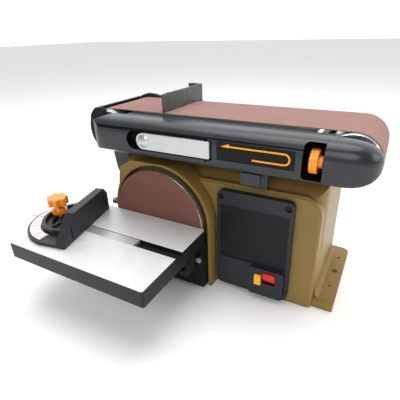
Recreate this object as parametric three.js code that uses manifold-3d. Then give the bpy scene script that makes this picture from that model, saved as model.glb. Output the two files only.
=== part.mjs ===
// Bench sander: a 4 x 36 inch sanding belt on a tilting arm and a 6 inch disc with a tilting table.
// Units are millimetres, +Z is up, X runs along the belt and +Y points to the back.
// Every size below is given from the centre of the disc's front face. The last step moves the
// whole machine so that the origin is the middle of its footprint.
import * as THREE from 'three';
import { mergeVertices } from 'three/addons/utils/BufferGeometryUtils.js';
import Module from 'manifold-3d';

const wasm = await Module();
wasm.setup();

// ---------------------------------------------------------------- driving dimensions
const INCH = 25.4;
const FIT = 0.3;
const FLOOR = -105;

const DISC = { radius: 3 * INCH, face: 0, paper: 1, plate: 8 };
const BELT = { width: 4 * INCH, length: 36 * INCH, thick: 1, front: 34 };
const DRUM = { radius: 32.2, front: 28, back: 138, x: -97, z: 120, shaft: 8 };
const BELT_INNER = DRUM.radius + FIT;
const BELT_OUTER = BELT_INNER + BELT.thick;
const DRUM_SPAN = BELT.length / 2 - Math.PI * (BELT_INNER + BELT.thick / 2);
const IDLER = { x: DRUM.x + DRUM_SPAN, axle: 6, bore: 13 };
const BELT_BACK = BELT.front + BELT.width;

const BASE = { left: -82, right: 236, front: 36, plateau: 28, plateau_right: 234, back: 204, top: 82, wall: 3 };
const FLANGE = { width: 27.5, front: 34, lip: 51, back: 200, thick: 6 };
const SHROUD = { radius: 88, recess: 82, front: 8, floor: 24.7, top: 84.5 };
const GUARD = { half: 80.5, front: -5, top: -24, bottom: -100, wall: 2.5 };

const PANEL = { left: 92.5, right: 201.5, bottom: -98, top: 59, front: 18.5, back: 27.7 };
const SWITCH = { left: 145.5, right: 196.5, bottom: -96, top: -50, front: 13 };
const ROCKER = { x: 176, y: 18, z: -63, width: 18, height: 17, half_slot: 10.4 };
const KEY = { x: 160, z: -68.5, width: 9.6, height: 17, front: 9, back: 23 };

const TABLE = { left: -142.6, right: 83.7, front: -149, back: -2, top: 2.65, apron: 23, plate: 6 };
const SLOT = { y: -71.9, width: 16, depth: 6.2 };
const TILT = { y: -25, z: -14, pin: 4 };
const LOCK = { radius: 30, angle: 240, stud: 3, x: 60 };

const MITRE = { x: -100, y: SLOT.y, turn: 14, swing: 50, stud_radius: 26, head_radius: 63 };
const FENCE = { face: 27.6, thick: 13, near: -64.2, far: 57, height: 40.5 };

const HOOD = { wall: 25.8, front: 27.7, back: 137.7 };
const COVER = { left: -109, right: 233, front: -14, bottom: 103.5, top: 150.5, wall: 2.5 };
const DOME = { left: 233.3, right: 290, back: 16 };
const LEDGE = { right: 242, front: 10, back: 27.2 };
const LEVER = { x: 93, y: -12.5, bottom: 114.3, top: 136.4, length: 105, thick: 6 };
const TRACKING = { x: 218, y: -0.5, z: 125.5, radius: 13.9 };
const STOP = { x: 0, thick: 2.5, bottom: 154, top: 179, back: 149 };
const PULLEY = { front: 209, back: 223, motor: 15, drum: 24 };

// ---------------------------------------------------------------- materials
const paint = (color, roughness, metalness) => new THREE.MeshStandardMaterial({ color, roughness, metalness });
const OLIVE = paint(0x8f7a45, 0.55, 0.1);
const CHARCOAL = paint(0x3a3f45, 0.45, 0.1);
const BLACK = paint(0x17181a, 0.6, 0);
const LIGHT_GREY = paint(0xb4b6b5, 0.5, 0.1);
const STEEL = paint(0xb9bbbd, 0.3, 0.9);
const ALUMINIUM = paint(0xd6d8da, 0.35, 0.8);
const GRIT_BELT = paint(0xa8807b, 0.95, 0);
const GRIT_DISC = paint(0x7a544c, 0.95, 0);
const ORANGE = paint(0xf0941c, 0.4, 0);
const RED = paint(0xc8202a, 0.35, 0);
const YELLOW = paint(0xf2b523, 0.35, 0);
const WHITE = paint(0xf2f2ef, 0.5, 0);
const RUBBER = paint(0x1c1c1c, 0.9, 0);

// ---------------------------------------------------------------- solid helpers
function solid(geometry) {
  const bare = geometry.index ? geometry.toNonIndexed() : geometry.clone();
  bare.deleteAttribute('normal');
  bare.deleteAttribute('uv');
  const merged = mergeVertices(bare, 1e-4);
  const vertProperties = new Float32Array(merged.attributes.position.array);
  const triVerts = new Uint32Array(merged.index.array);
  return new wasm.Manifold(new wasm.Mesh({ numProp: 3, vertProperties, triVerts }));
}

const join = (first, ...rest) => rest.reduce((whole, next) => whole.add(next), first);
const cut = (first, ...rest) => rest.reduce((whole, next) => whole.subtract(next), first);
const common = (first, ...rest) => rest.reduce((whole, next) => whole.intersect(next), first);

function geometryOf(shape) {
  const raw = shape.getMesh();
  const geometry = new THREE.BufferGeometry();
  geometry.setAttribute('position', new THREE.BufferAttribute(raw.vertProperties.slice(), 3));
  geometry.setIndex(new THREE.BufferAttribute(raw.triVerts.slice(), 1));
  geometry.computeVertexNormals();
  return geometry;
}

function piece(name, shape, material) {
  const mesh = new THREE.Mesh(geometryOf(shape), material);
  mesh.name = name;
  return mesh;
}

function groupAt(x, y, z, ...children) {
  const group = new THREE.Group();
  group.position.set(x, y, z);
  group.add(...children);
  return group;
}

function block(x0, x1, y0, y1, z0, z1) {
  const box = new THREE.BoxGeometry(x1 - x0, y1 - y0, z1 - z0);
  return solid(box.translate((x0 + x1) / 2, (y0 + y1) / 2, (z0 + z1) / 2));
}

function rodX(x0, x1, y, z, radius, sides = 16) {
  const rod = new THREE.CylinderGeometry(radius, radius, x1 - x0, sides);
  return solid(rod.rotateZ(Math.PI / 2).translate((x0 + x1) / 2, y, z));
}

function rodY(x, y0, y1, z, radius, sides = 16) {
  const rod = new THREE.CylinderGeometry(radius, radius, y1 - y0, sides);
  return solid(rod.translate(x, (y0 + y1) / 2, z));
}

function rodZ(x, y, z0, z1, radius, sides = 20, topRadius = radius) {
  const rod = new THREE.CylinderGeometry(topRadius, radius, z1 - z0, sides);
  return solid(rod.rotateX(Math.PI / 2).translate(x, y, (z0 + z1) / 2));
}

const extrude = (shape, depth, bevel = 0, arcs = 5) => new THREE.ExtrudeGeometry(shape, {
  depth: depth - 2 * bevel,
  bevelEnabled: bevel > 0,
  bevelThickness: bevel,
  bevelSize: bevel,
  bevelOffset: -bevel,
  bevelSegments: 1,
  curveSegments: arcs,
}).translate(0, 0, bevel);

// The outline is drawn in X and Z and pushed along Y.
function alongY(shape, y0, y1, bevel = 0, arcs = 5) {
  return solid(extrude(shape, y1 - y0, bevel, arcs).rotateX(Math.PI / 2).translate(0, y1, 0));
}

// The outline is drawn in Y and Z and pushed along X.
function alongX(shape, x0, x1, bevel = 0) {
  const axes = new THREE.Matrix4().makeBasis(
    new THREE.Vector3(0, 1, 0), new THREE.Vector3(0, 0, 1), new THREE.Vector3(1, 0, 0));
  return solid(extrude(shape, x1 - x0, bevel).applyMatrix4(axes).translate(x0, 0, 0));
}

// The outline is drawn in X and Y and pushed along Z.
function alongZ(shape, z0, z1, bevel = 0) {
  return solid(extrude(shape, z1 - z0, bevel).translate(0, 0, z0));
}

const polygon = (...points) => new THREE.Shape(points.map(([u, v]) => new THREE.Vector2(u, v)));

// A rectangle with its own radius at each corner: bottom left, bottom right, top right, top left.
function roundedRect(u0, v0, u1, v1, radii) {
  const [a, b, c, d] = Array.isArray(radii) ? radii : [radii, radii, radii, radii];
  const shape = new THREE.Shape();
  const turn = (u, v, radius, start) => {
    if (radius > 0) shape.absarc(u, v, radius, start, start + Math.PI / 2, false);
    else shape.lineTo(u, v);
  };
  shape.moveTo(u0 + a, v0);
  turn(u1 - b, v0 + b, b, -Math.PI / 2);
  turn(u1 - c, v1 - c, c, 0);
  turn(u0 + d, v1 - d, d, Math.PI / 2);
  turn(u0 + a, v0 + a, a, Math.PI);
  return shape;
}

// The outline of a band pulled tight round two circles.
function wrap(u1, v1, r1, u2, v2, r2) {
  const along = Math.atan2(v2 - v1, u2 - u1);
  const open = Math.acos((r1 - r2) / Math.hypot(u2 - u1, v2 - v1));
  const shape = new THREE.Shape();
  shape.absarc(u1, v1, r1, along + open, along - open + 2 * Math.PI, false);
  shape.absarc(u2, v2, r2, along - open, along + open, false);
  return shape;
}

// Part of a ring between two radii and two angles in degrees.
function ringSector(u, v, inner, outer, from, to) {
  const a = THREE.MathUtils.degToRad(from);
  const b = THREE.MathUtils.degToRad(to);
  const shape = new THREE.Shape();
  shape.absarc(u, v, outer, a, b, false);
  shape.absarc(u, v, inner, b, a, true);
  return shape;
}

// A knob's outline: a circle whose radius swells and shrinks evenly.
function lobed(radius, depth, lobes, steps = lobes * 5) {
  const points = [];
  for (let i = 0; i < steps; i += 1) {
    const angle = (i / steps) * 2 * Math.PI;
    const reach = radius - depth * (0.5 - 0.5 * Math.cos(lobes * angle));
    points.push([reach * Math.cos(angle), reach * Math.sin(angle)]);
  }
  return polygon(...points);
}

// ---------------------------------------------------------------- base
function baseOutside() {
  const side = polygon([BASE.front, FLOOR], [BASE.back, FLOOR], [BASE.back, BASE.top],
    [64, BASE.top], [50, 78.5], [41, 72], [BASE.front, 62]);
  const plan = roundedRect(BASE.left, BASE.front, BASE.right, BASE.back, [6, 20, 12, 6]);
  const body = common(alongX(side, BASE.left, BASE.right), alongZ(plan, FLOOR, BASE.top));
  const face = roundedRect(BASE.left, FLOOR - 20, BASE.plateau_right, 66, [0, 0, 26, 0]);
  const room = block(BASE.left, BASE.right, BASE.plateau, BASE.back, FLOOR, BASE.top);
  const plateau = common(alongY(face, BASE.plateau, BASE.plateau + 30, 2.5), room);
  return join(body, plateau);
}

function shroudArch() {
  const edge = SHROUD.radius;
  const arch = new THREE.Shape();
  arch.moveTo(-edge, FLOOR);
  arch.lineTo(edge, FLOOR);
  arch.absarc(0, 0, edge, 0, Math.PI * 0.47, false);
  arch.lineTo(-46, 86);
  arch.lineTo(-70, 72);
  arch.absarc(0, 0, edge, Math.PI * 0.86, Math.PI, false);
  return common(alongY(arch, SHROUD.front, BASE.front + 10), block(-90, 90, 0, 60, FLOOR, SHROUD.top));
}

function flange(x0, x1, side) {
  const corners = side > 0 ? [0, 2, 10, 0] : [2, 0, 0, 10];
  const outline = roundedRect(x0, FLANGE.front, x1, FLANGE.back, corners);
  const plate = alongZ(outline, FLOOR, FLOOR + FLANGE.thick);
  const x = side > 0 ? x1 - 12 : x0 + 12;
  const holes = [[164, 2.2], [124, 4.6], [84, 2.2]].map(
    ([y, radius]) => rodZ(x, y, FLOOR - 1, FLOOR + 12, radius, 12));
  const lip = polygon([FLANGE.front, FLOOR], [FLANGE.lip, FLOOR], [FLANGE.lip, FLOOR + 6], [FLANGE.lip - 3, FLOOR + 8],
    [FLANGE.lip - 5, FLOOR + 8], [FLANGE.front, FLOOR + 3]);
  return cut(join(plate, alongX(lip, x0, x1)), ...holes);
}

function baseHousing() {
  const wall = BASE.wall;
  const fillet = polygon([BASE.right - 8, FLOOR], [BASE.right + 6, FLOOR + 6], [BASE.right - 4, FLOOR + 18],
    [BASE.right - 8, FLOOR + 18]);
  const outside = join(baseOutside(), shroudArch(),
    flange(BASE.right - 10, BASE.right + FLANGE.width, 1),
    flange(BASE.left - FLANGE.width, BASE.left + 10, -1),
    alongX(polygon([46, FLOOR], [190, FLOOR], [190, FLOOR + 8], [46, FLOOR + 8]), BASE.right - 8, BASE.right + 2),
    alongY(fillet, 46, 190));
  const ear = alongY(wrap(DRUM.x, DRUM.z, 31, 0, 0, 34), BASE.back - wall, BASE.back);
  const side = polygon([BASE.front + wall, FLOOR - 1], [BASE.back - wall, FLOOR - 1],
    [BASE.back - wall, BASE.top - wall], [65, BASE.top - wall], [52, 76], [44, 70], [BASE.front + wall, 60]);
  const plan = roundedRect(BASE.left + wall, BASE.front + wall, BASE.right - wall, BASE.back - wall, [4, 17, 9, 4]);
  const hollow = common(alongX(side, BASE.left + wall, BASE.right - wall), alongZ(plan, FLOOR - 1, BASE.top));
  const hollowFront = block(BASE.left + wall, 226, BASE.plateau + wall, BASE.front + 5, FLOOR - 1, 54);
  const drumSpace = rodY(DRUM.x, 20, 147, DRUM.z, 42, 48);
  const drumWall = rodY(DRUM.x, 10, 150, DRUM.z, 45, 48);
  const recess = join(rodY(0, SHROUD.front - 1, SHROUD.floor, 0, SHROUD.recess, 64),
    block(-SHROUD.recess, SHROUD.recess, SHROUD.front - 1, SHROUD.floor, FLOOR - 1, 0));
  return cut(join(outside, ear),
    cut(join(hollow, hollowFront), drumWall), drumSpace, recess,
    rodY(0, 20, 40, 0, 14), rodY(0, 195, 210, 0, 17), rodY(DRUM.x, 195, 210, DRUM.z, 19),
    block(147, 195, 20, 40, -94, -52),
    rodY(200, 190, 210, -70, 6.3, 12));
}

function motorHousing() {
  const rings = [[50, 40], [58, 46], [62, 46], [62, 52], [168, 52], [168, 46], [176, 40], [180, 24]];
  const outline = [[9, 31.4], [34, 31.4], [34, 50], ...rings.map(([y, radius]) => [radius, y]), [9, 180]];
  const lathe = new THREE.LatheGeometry([...outline, outline[0]].map(([u, v]) => new THREE.Vector2(u, v)), 20);
  return solid(lathe);
}

function bearingHousing() {
  const body = join(rodY(DRUM.x, 139, 195, DRUM.z, 16), rodY(DRUM.x, 194, BASE.back - BASE.wall - FIT, DRUM.z, 30));
  return cut(body, rodY(DRUM.x, 130, 210, DRUM.z, DRUM.shaft + FIT));
}

function pulleyCover() {
  const front = BASE.back + FIT;
  const outer = alongY(wrap(DRUM.x, DRUM.z, 32, 0, 0, 32), front, 234);
  const inner = alongY(wrap(DRUM.x, DRUM.z, 29.5, 0, 0, 29.5), front - 1, 231.5);
  return cut(outer, inner, rodY(DRUM.x, 225, 240, DRUM.z, 2.4, 10), rodY(0, 225, 240, 0, 2.4, 10));
}

const coverScrew = () => join(rodY(0, 224.5, 234.5, 0, 2, 10), rodY(0, 234.3, 237, 0, 4.5, 14));

function driveBelt() {
  const y0 = PULLEY.front + 1.5;
  const y1 = PULLEY.back - 1.5;
  const outer = alongY(wrap(DRUM.x, DRUM.z, PULLEY.drum + 3, 0, 0, PULLEY.motor + 3), y0, y1);
  const inner = wrap(DRUM.x, DRUM.z, PULLEY.drum + 2 * FIT, 0, 0, PULLEY.motor + 2 * FIT);
  return cut(outer, alongY(inner, y0 - 1, y1 + 1));
}

function switchPanel() {
  const outline = roundedRect(PANEL.left, PANEL.bottom, PANEL.right, PANEL.top, 8);
  const plate = common(alongY(outline, PANEL.front, PANEL.back + 10, 1.6),
    block(0, 300, 0, PANEL.back, -200, 200));
  const recess = alongY(roundedRect(PANEL.left + 5.5, -48, PANEL.right - 5, 38, 2), PANEL.front - 1, PANEL.front + 1.6);
  const opening = block(149, 193, 0, 40, -92, -54);
  const screws = [99.5, 194.5].map((x) => join(rodY(x, 10, 40, 50, 2.4, 10), rodY(x, 10, PANEL.front + 4.4, 50, 4.6, 12)));
  return cut(plate, recess, opening, ...screws);
}

const panelScrew = () => cut(
  join(rodY(0, 4, 8.6, 0, 2, 10), rodY(0, 1.2, 4.1, 0, 4, 16)), block(-0.8, 0.8, 0, 2.4, -5, 5));

function switchBezel() {
  const rim = alongY(roundedRect(SWITCH.left, SWITCH.bottom, SWITCH.right, SWITCH.top, 5), SWITCH.front, 18.2 + 2, 2);
  const front = common(rim, block(0, 300, 0, 18.2, -200, 0));
  const body = block(150, 192, 17, 58, -91, -55);
  const rockerSlot = block(ROCKER.x - ROCKER.width / 2 - 0.4, ROCKER.x + ROCKER.width / 2 + 0.4, 0, 28,
    ROCKER.z - ROCKER.half_slot, ROCKER.z + ROCKER.half_slot);
  const keySlot = block(KEY.x - KEY.width / 2 - 0.4, KEY.x + KEY.width / 2 + 0.4, 0, KEY.back + 1,
    KEY.z - KEY.height / 2 - 0.4, KEY.z + KEY.height / 2 + 0.4);
  return cut(join(front, body), rockerSlot, keySlot);
}

// The rocker is drawn round its pivot; its upper half stands out in the off position.
function switchRocker() {
  const side = polygon([-2, -8.5], [6, -8.5], [6, 8.5], [-7.5, 8.2], [-6.5, 1]);
  return alongX(side, -ROCKER.width / 2, ROCKER.width / 2);
}

function switchKey() {
  const side = roundedRect(KEY.front, KEY.z - KEY.height / 2, KEY.back, KEY.z + KEY.height / 2, [3, 0, 0, 3]);
  return alongX(side, KEY.x - KEY.width / 2, KEY.x + KEY.width / 2);
}

function lowerGuard() {
  const { half, front, top, bottom, wall } = GUARD;
  const outer = block(-half, half, front, 24.4, bottom, top);
  const inner = block(-half + wall, half - wall, front + wall, 30, bottom + wall, top + 1);
  return cut(outer, inner);
}

const guardScrew = () => join(rodY(74, -8, GUARD.front - FIT, -50, 4.5, 14));

function lockStud() {
  const angle = THREE.MathUtils.degToRad(LOCK.angle);
  return [TILT.y + LOCK.radius * Math.cos(angle), TILT.z + LOCK.radius * Math.sin(angle)];
}

function tableBracket(side) {
  const [y, z] = lockStud();
  const x0 = side > 0 ? LOCK.x + 2.4 : -LOCK.x - 7.4;
  const x1 = x0 + 5;
  const foot = polygon([GUARD.front - FIT, -72], [GUARD.front - FIT, -26], [-14, -24], [TILT.y, -20], [y, z - 6]);
  const plate = join(alongX(wrap(TILT.y, TILT.z, 9, y, z, 8), x0, x1), alongX(foot, x0, x1));
  return cut(plate, rodX(x0 - 1, x1 + 1, TILT.y, TILT.z, TILT.pin + FIT), rodX(x0 - 1, x1 + 1, y, z, LOCK.stud + FIT));
}

function pivotPin(side) {
  const inner = LOCK.x - 5;
  const outer = LOCK.x + 7.4;
  return side > 0
    ? join(rodX(inner, outer + 1, TILT.y, TILT.z, TILT.pin), rodX(outer + FIT, outer + 3, TILT.y, TILT.z, 7))
    : join(rodX(-outer - 1, -inner, TILT.y, TILT.z, TILT.pin), rodX(-outer - 3, -outer - FIT, TILT.y, TILT.z, 7));
}

// A bracket on the base's front shoulder that the lowered arm rests on.
function armRest() {
  const side = polygon([-2, 83], [2, 83], [2, 94], [28.5, 94], [28.5, 68], [33, 68], [33, 98.5], [-2, 98.5]);
  return alongX(side, 136, 161);
}

function dustChute() {
  const outer = polygon([-86.2, 14], [-82.4, 14], [-82.4, 78], [-114, 78], [-110, 50], [-99, 22]);
  const inner = polygon([-84.9, 16.5], [-84.9, 90], [-111.6, 90], [-107.6, 51], [-97.4, 24.5], [-87, 16.5]);
  return cut(alongY(outer, 46.4, 136), alongY(inner, 48.9, 140));
}

const cordGland = () => cut(join(rodY(200, 196, 214, -70, 6, 24), rodY(200, BASE.back + FIT, 210, -70, 9, 24)),
  rodY(200, 190, 220, -70, 3.5, 12));

const shroudBolt = () => join(rodX(-97, -SHROUD.radius - FIT, 15, 4, 3, 20), rodX(-97, -92, 15, 4, 6, 6));

// ---------------------------------------------------------------- motor and disc
const motorShaft = () => rodY(0, 12, 224, 0, DRUM.shaft);
const abrasiveDisc = () => rodY(0, DISC.face, DISC.face + DISC.paper, 0, DISC.radius, 56);

function discPlate() {
  const back = DISC.face + DISC.paper + FIT;
  const plate = join(rodY(0, back, back + DISC.plate, 0, DISC.radius, 56), rodY(0, back + 5, 22, 0, 13));
  return cut(plate, rodY(0, 11.5, 30, 0, DRUM.shaft + FIT));
}

function pulley(radius) {
  const rim = join(rodY(0, PULLEY.front, PULLEY.back, 0, radius), rodY(0, PULLEY.front, PULLEY.front + 1.2, 0, radius + 3.5),
    rodY(0, PULLEY.back - 1.2, PULLEY.back, 0, radius + 3.5));
  return cut(rim, rodY(0, 200, 230, 0, DRUM.shaft + FIT));
}

function motorFan() {
  const hub = rodY(0, 182, 192, 0, 14);
  const blades = Array.from({ length: 8 }, (_, i) => {
    const blade = new THREE.BoxGeometry(34, 9, 2.5).translate(27, 187, 0).rotateY((i * Math.PI) / 4);
    return solid(blade);
  });
  return cut(join(hub, rodY(0, 190, 192, 0, 44), ...blades), rodY(0, 180, 195, 0, DRUM.shaft + FIT));
}

// ---------------------------------------------------------------- belt drums, drawn round their own axis
function drum(bore) {
  const ends = [rodY(0, DRUM.front - 1, DRUM.front + 8, 0, 28), rodY(0, DRUM.back - 8, DRUM.back + 1, 0, 28)];
  const hub = cut(rodY(0, DRUM.front + 2, DRUM.back - 2, 0, bore + 4), rodY(0, 0, 200, 0, bore + FIT));
  const wall = cut(rodY(0, DRUM.front, DRUM.back, 0, DRUM.radius, 40), rodY(0, 0, 200, 0, bore + FIT), ...ends);
  return join(wall, hub);
}

const drumShaft = () => rodY(0, 26, 224, 0, DRUM.shaft);
const idlerAxle = () => rodY(0, 17.5, 147.5, 0, IDLER.axle, 16);
const bearing = (y) => cut(rodY(0, y, y + 8, 0, IDLER.bore, 28), rodY(0, y - 1, y + 9, 0, IDLER.axle + FIT, 16));

// ---------------------------------------------------------------- belt arm
function armFrame() {
  const right = 196;
  const channel = join(block(-52, right, 37, 138.2, 144.7, 148.7), block(-52, right, 37, 41, 104, 145),
    block(-52, right, 134, 138.2, 104, 145), block(180, 184, 40, 135, 104, 145), block(-52, -48, 40, 135, 104, 145));
  const side = join(alongY(wrap(DRUM.x, DRUM.z, 40, -70, DRUM.z, 34), 138, 144),
    alongY(roundedRect(-80, 100, right, 146, [0, 8, 8, 0]), 138, 144));
  const posts = [-45, 150, 195].map((x) => rodY(x, COVER.front + COVER.wall + FIT, 38, 126, 5, 12));
  return cut(join(channel, side, posts[0], posts[1], common(posts[2], block(0, right, -20, 60, 0, 200))),
    rodY(DRUM.x, 130, 150, DRUM.z, 16 + 0.4, 40), rodX(175, 190, 87, DRUM.z, 5.4, 24), rodY(-10, 130, 150, 125, 3.3, 10));
}

function platen() {
  const side = roundedRect(-56, 149, 216, 152.2, [0, 0, 3, 3]);
  return alongY(side, 36, 134);
}

function sandingBelt() {
  const outer = wrap(DRUM.x, DRUM.z, BELT_OUTER, IDLER.x, DRUM.z, BELT_OUTER);
  const inner = wrap(DRUM.x, DRUM.z, BELT_INNER, IDLER.x, DRUM.z, BELT_INNER);
  return cut(alongY(outer, BELT.front, BELT_BACK, 0, 12), alongY(inner, BELT.front - 1, BELT_BACK + 1, 0, 12));
}

// The cover's cross-section in Y and Z, set in by an even margin.
function coverSection(margin, back) {
  const front = COVER.front + margin;
  const top = COVER.top - margin;
  const bottom = COVER.bottom + margin;
  const shape = new THREE.Shape();
  shape.moveTo(back, bottom);
  shape.lineTo(back, top);
  shape.lineTo(9, top);
  shape.quadraticCurveTo(front, top, front, 129);
  shape.lineTo(front, bottom + 6);
  shape.quadraticCurveTo(front, bottom, front + 6, bottom);
  return shape;
}

// The cover's outline from the front: its left end follows the drum in two quarter ellipses.
function coverFace(margin) {
  const { left, bottom, top, right } = COVER;
  const shape = new THREE.Shape();
  shape.moveTo(right + 1, bottom + margin);
  shape.lineTo(right + 1, top - margin);
  shape.absellipse(left + 38, 123, 38 - margin, top - 123 - margin, Math.PI / 2, Math.PI, false);
  shape.absellipse(left + 28, 123, 28 - margin, 123 - bottom - margin, Math.PI, Math.PI * 1.5, false);
  return shape;
}

// The cover's plan view: the left end sweeps back in a quarter ellipse.
function coverPlan(margin) {
  const left = COVER.left + margin;
  const front = COVER.front + margin;
  const shape = new THREE.Shape();
  shape.moveTo(left, 60);
  shape.lineTo(left, 22);
  shape.absellipse(-72, 22, -72 - left, 22 - front, Math.PI, Math.PI * 1.5, false);
  shape.lineTo(COVER.right, front);
  shape.lineTo(COVER.right, 60);
  return shape;
}

function coverBody(margin, back) {
  return common(alongX(coverSection(margin, back), COVER.left, COVER.right),
    alongZ(coverPlan(margin), 90, 170), alongY(coverFace(margin), -40, 80));
}

function frontCover() {
  const ledge = block(COVER.right - 1, LEDGE.right, LEDGE.front, LEDGE.back, COVER.top - 4, COVER.top);
  const outside = join(coverBody(0, BELT.front - 0.6), ledge);
  const inside = coverBody(COVER.wall, 60);
  const tubs = common(outside, join(block(-34, 105, -30, -2.5, 109, 141), block(208.5, COVER.right, -30, 16.5, 90, 160)));
  const leverSlot = alongY(roundedRect(-30, 112, 102, 137.8, [12.8, 3, 3, 12.8]), -30, -5);
  const knobSlot = alongY(roundedRect(211, 107, COVER.right + 10, 148, [4, 0, 0, 4]), -30, 14);
  const labelSlot = alongY(roundedRect(108.5, 115, 204, 138.6, 1.5), -30, COVER.front + 0.8);
  const grooves = [[19.5, 21], [24.5, 26]].map(([y0, y1]) => block(-52, 238, y0, y1, COVER.top - 0.9, COVER.top + 5));
  const openBottom = block(-200, 300, 27.5, 60, 90, 147);
  const driveGap = block(-140, -54, 19, 60, 128, 160);
  const hoodGap = block(-140, -75, HOOD.wall - FIT, 60, 90, 160);
  const idlerGap = block(212, 300, LEDGE.back, 60, 90, 160);
  return cut(join(cut(outside, inside), tubs), leverSlot, knobSlot, labelSlot, ...grooves, openBottom, driveGap, hoodGap, idlerGap,
    rodY(DRUM.x, 25.5, 60, DRUM.z, 35, 48), rodZ(LEVER.x, LEVER.y, 109.8, 140.2, 2.3, 10));
}

function domeBody(margin, back) {
  const right = DOME.right - margin;
  const front = COVER.front + margin;
  const left = DOME.left + margin;
  const plan = new THREE.Shape();
  plan.moveTo(left, back);
  plan.lineTo(left, front);
  plan.absellipse(246, 14, right - 246, 14 - front, -Math.PI / 2, 0, false);
  plan.lineTo(right, back);
  const end = 23 - margin;
  const face = roundedRect(left, COVER.bottom + margin, right, COVER.top - margin, [0, end, end, 0]);
  return common(alongX(coverSection(margin, back), left, right), alongZ(plan, 90, 170), alongY(face, -40, 80));
}

function endDome() {
  return cut(domeBody(0, DOME.back), domeBody(COVER.wall, DOME.back + 10),
    rodX(230, 240, TRACKING.y, TRACKING.z, 3.5, 12),
    block(230, LEDGE.right + FIT, LEDGE.front - FIT, 30, COVER.top - 4 - FIT, 160));
}

// The hood stands round the left of the drum and leans in at the top; a wall closes its front end.
function drumHood() {
  const at = (radius, angle) => [
    DRUM.x + radius * Math.cos((angle * Math.PI) / 180), DRUM.z + radius * Math.sin((angle * Math.PI) / 180)];
  const angles = [215, 203, 191, 180, 168, 155];
  const outer = [...angles.map((angle) => at(39.3, angle)), at(41.2, 147), at(41.2, 125)];
  const inner = [...angles.map((angle) => at(36.7, angle)), at(38.6, 147), at(38.6, 123)];
  const edge = [215, 191, 168, 147, 122, 97].map((angle) => at(22, angle));
  return join(alongY(polygon(...outer, ...inner.reverse()), HOOD.wall, HOOD.back),
    alongY(polygon(...outer, at(36.5, 108), at(34.8, 97), ...edge.reverse()), HOOD.wall, HOOD.front));
}

const directionLabel = () => alongY(roundedRect(109, 115.5, 203.5, 138.1, 1.2), COVER.front, COVER.front + 0.5);
const leverPin = () => rodZ(LEVER.x, LEVER.y, 110.2, 139.8, 2, 10);
const stopBolt = () => join(rodY(-10, 139, STOP.back + 1, 125, 3, 20), rodY(-10, STOP.back + FIT, STOP.back + 4.5, 125, 6.5, 6));

function beltStop() {
  const blade = block(STOP.x, STOP.x + STOP.thick, BELT.front, STOP.back, STOP.bottom, STOP.top);
  const flap = block(STOP.x - 22, STOP.x + STOP.thick, STOP.back - STOP.thick, STOP.back, 108, STOP.top);
  return cut(join(blade, flap), alongY(roundedRect(-13.4, 113.6, -6.6, 128.4, 3.3), 140, 160));
}

// The lever is drawn round its pin and reaches to the left.
function tensionLever() {
  const half = (LEVER.top - LEVER.bottom) / 2;
  const outline = roundedRect(-LEVER.length, -half, 6, half, [half - 0.1, 2, 2, half - 0.1]);
  return cut(alongY(outline, -LEVER.thick / 2, LEVER.thick / 2, 1), rodZ(0, 0, -20, 20, 2.3, 10));
}

// The carriage is drawn in place: a fork that holds the idler axle and slides on its rod.
function idlerCarriage() {
  const arms = [[19, 25], [140, 146]].map(([y0, y1]) => block(209, IDLER.x + 7, y0, y1, 112, 128));
  const rod = rodX(150, 212, 87, DRUM.z, 5, 24);
  return cut(join(block(209, 217, 19, 146, 110, 130), ...arms, rod), rodY(IDLER.x, 10, 150, DRUM.z, IDLER.axle + FIT, 16));
}

function tensionSpring() {
  const turns = 4;
  const points = [];
  for (let i = 0; i <= turns * 9; i += 1) {
    const angle = (i / 9) * 2 * Math.PI;
    points.push(new THREE.Vector3(192.5 + (14.5 * i) / (turns * 9), 87 + 9 * Math.cos(angle), DRUM.z + 9 * Math.sin(angle)));
  }
  const wire = new THREE.Shape();
  wire.absarc(0, 0, 1.1, 0, Math.PI * 2, false);
  const path = new THREE.CatmullRomCurve3(points);
  return solid(new THREE.ExtrudeGeometry(wire, { steps: turns * 9, curveSegments: 5, extrudePath: path }));
}

function trackingKnob() {
  const wheel = alongX(lobed(TRACKING.radius, 1, 12, 36), 0, 9, 1);
  return join(wheel, rodX(8, 13.5, 0, 0, 7));
}

const trackingScrew = () => rodX(13.8, 28, 0, 0, 3, 20);

// ---------------------------------------------------------------- disc table
function discTable() {
  const { left, right, front, back, top, apron, plate } = TABLE;
  const bottom = top - apron;
  const outer = alongZ(roundedRect(left, front, right, back, 3), bottom, top);
  const under = block(left + 4, right - 4, front + 4, back - 4, bottom - 1, top - plate);
  const rib = block(left + 2, right - 2, SLOT.y - 11, SLOT.y + 11, -8.5, top - 1);
  const groove = block(left - 1, right + 1, SLOT.y - SLOT.width / 2, SLOT.y + SLOT.width / 2, top - SLOT.depth, top + 1);
  const lugs = [-LOCK.x - 2, LOCK.x - 3].map((x) => tableLug(x, x + 5));
  return cut(join(cut(outer, under), rib, ...lugs), groove);
}

function tableLug(x0, x1) {
  const outline = new THREE.Shape();
  outline.moveTo(-14, -3);
  outline.lineTo(-64, -3);
  outline.absarc(TILT.y, TILT.z, 38, THREE.MathUtils.degToRad(198), THREE.MathUtils.degToRad(252), false);
  outline.lineTo(-14, -22);
  const arc = alongX(ringSector(TILT.y, TILT.z, LOCK.radius - 3.5, LOCK.radius + 3.5, LOCK.angle - 52, LOCK.angle + 7),
    x0 - 1, x1 + 1);
  return cut(alongX(outline, x0, x1), arc, rodX(x0 - 1, x1 + 1, TILT.y, TILT.z, TILT.pin + FIT));
}

// A star knob on a stud, drawn round its own axis; side is the way the knob points along X.
function lockKnob(side) {
  const stud = rodX(-8, 9, 0, 0, LOCK.stud, 10);
  const head = join(alongX(lobed(13, 3, 6, 24), 7.7, 18.5, 1.5), stud);
  return side > 0 ? head : head.mirror([1, 0, 0]);
}

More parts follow.
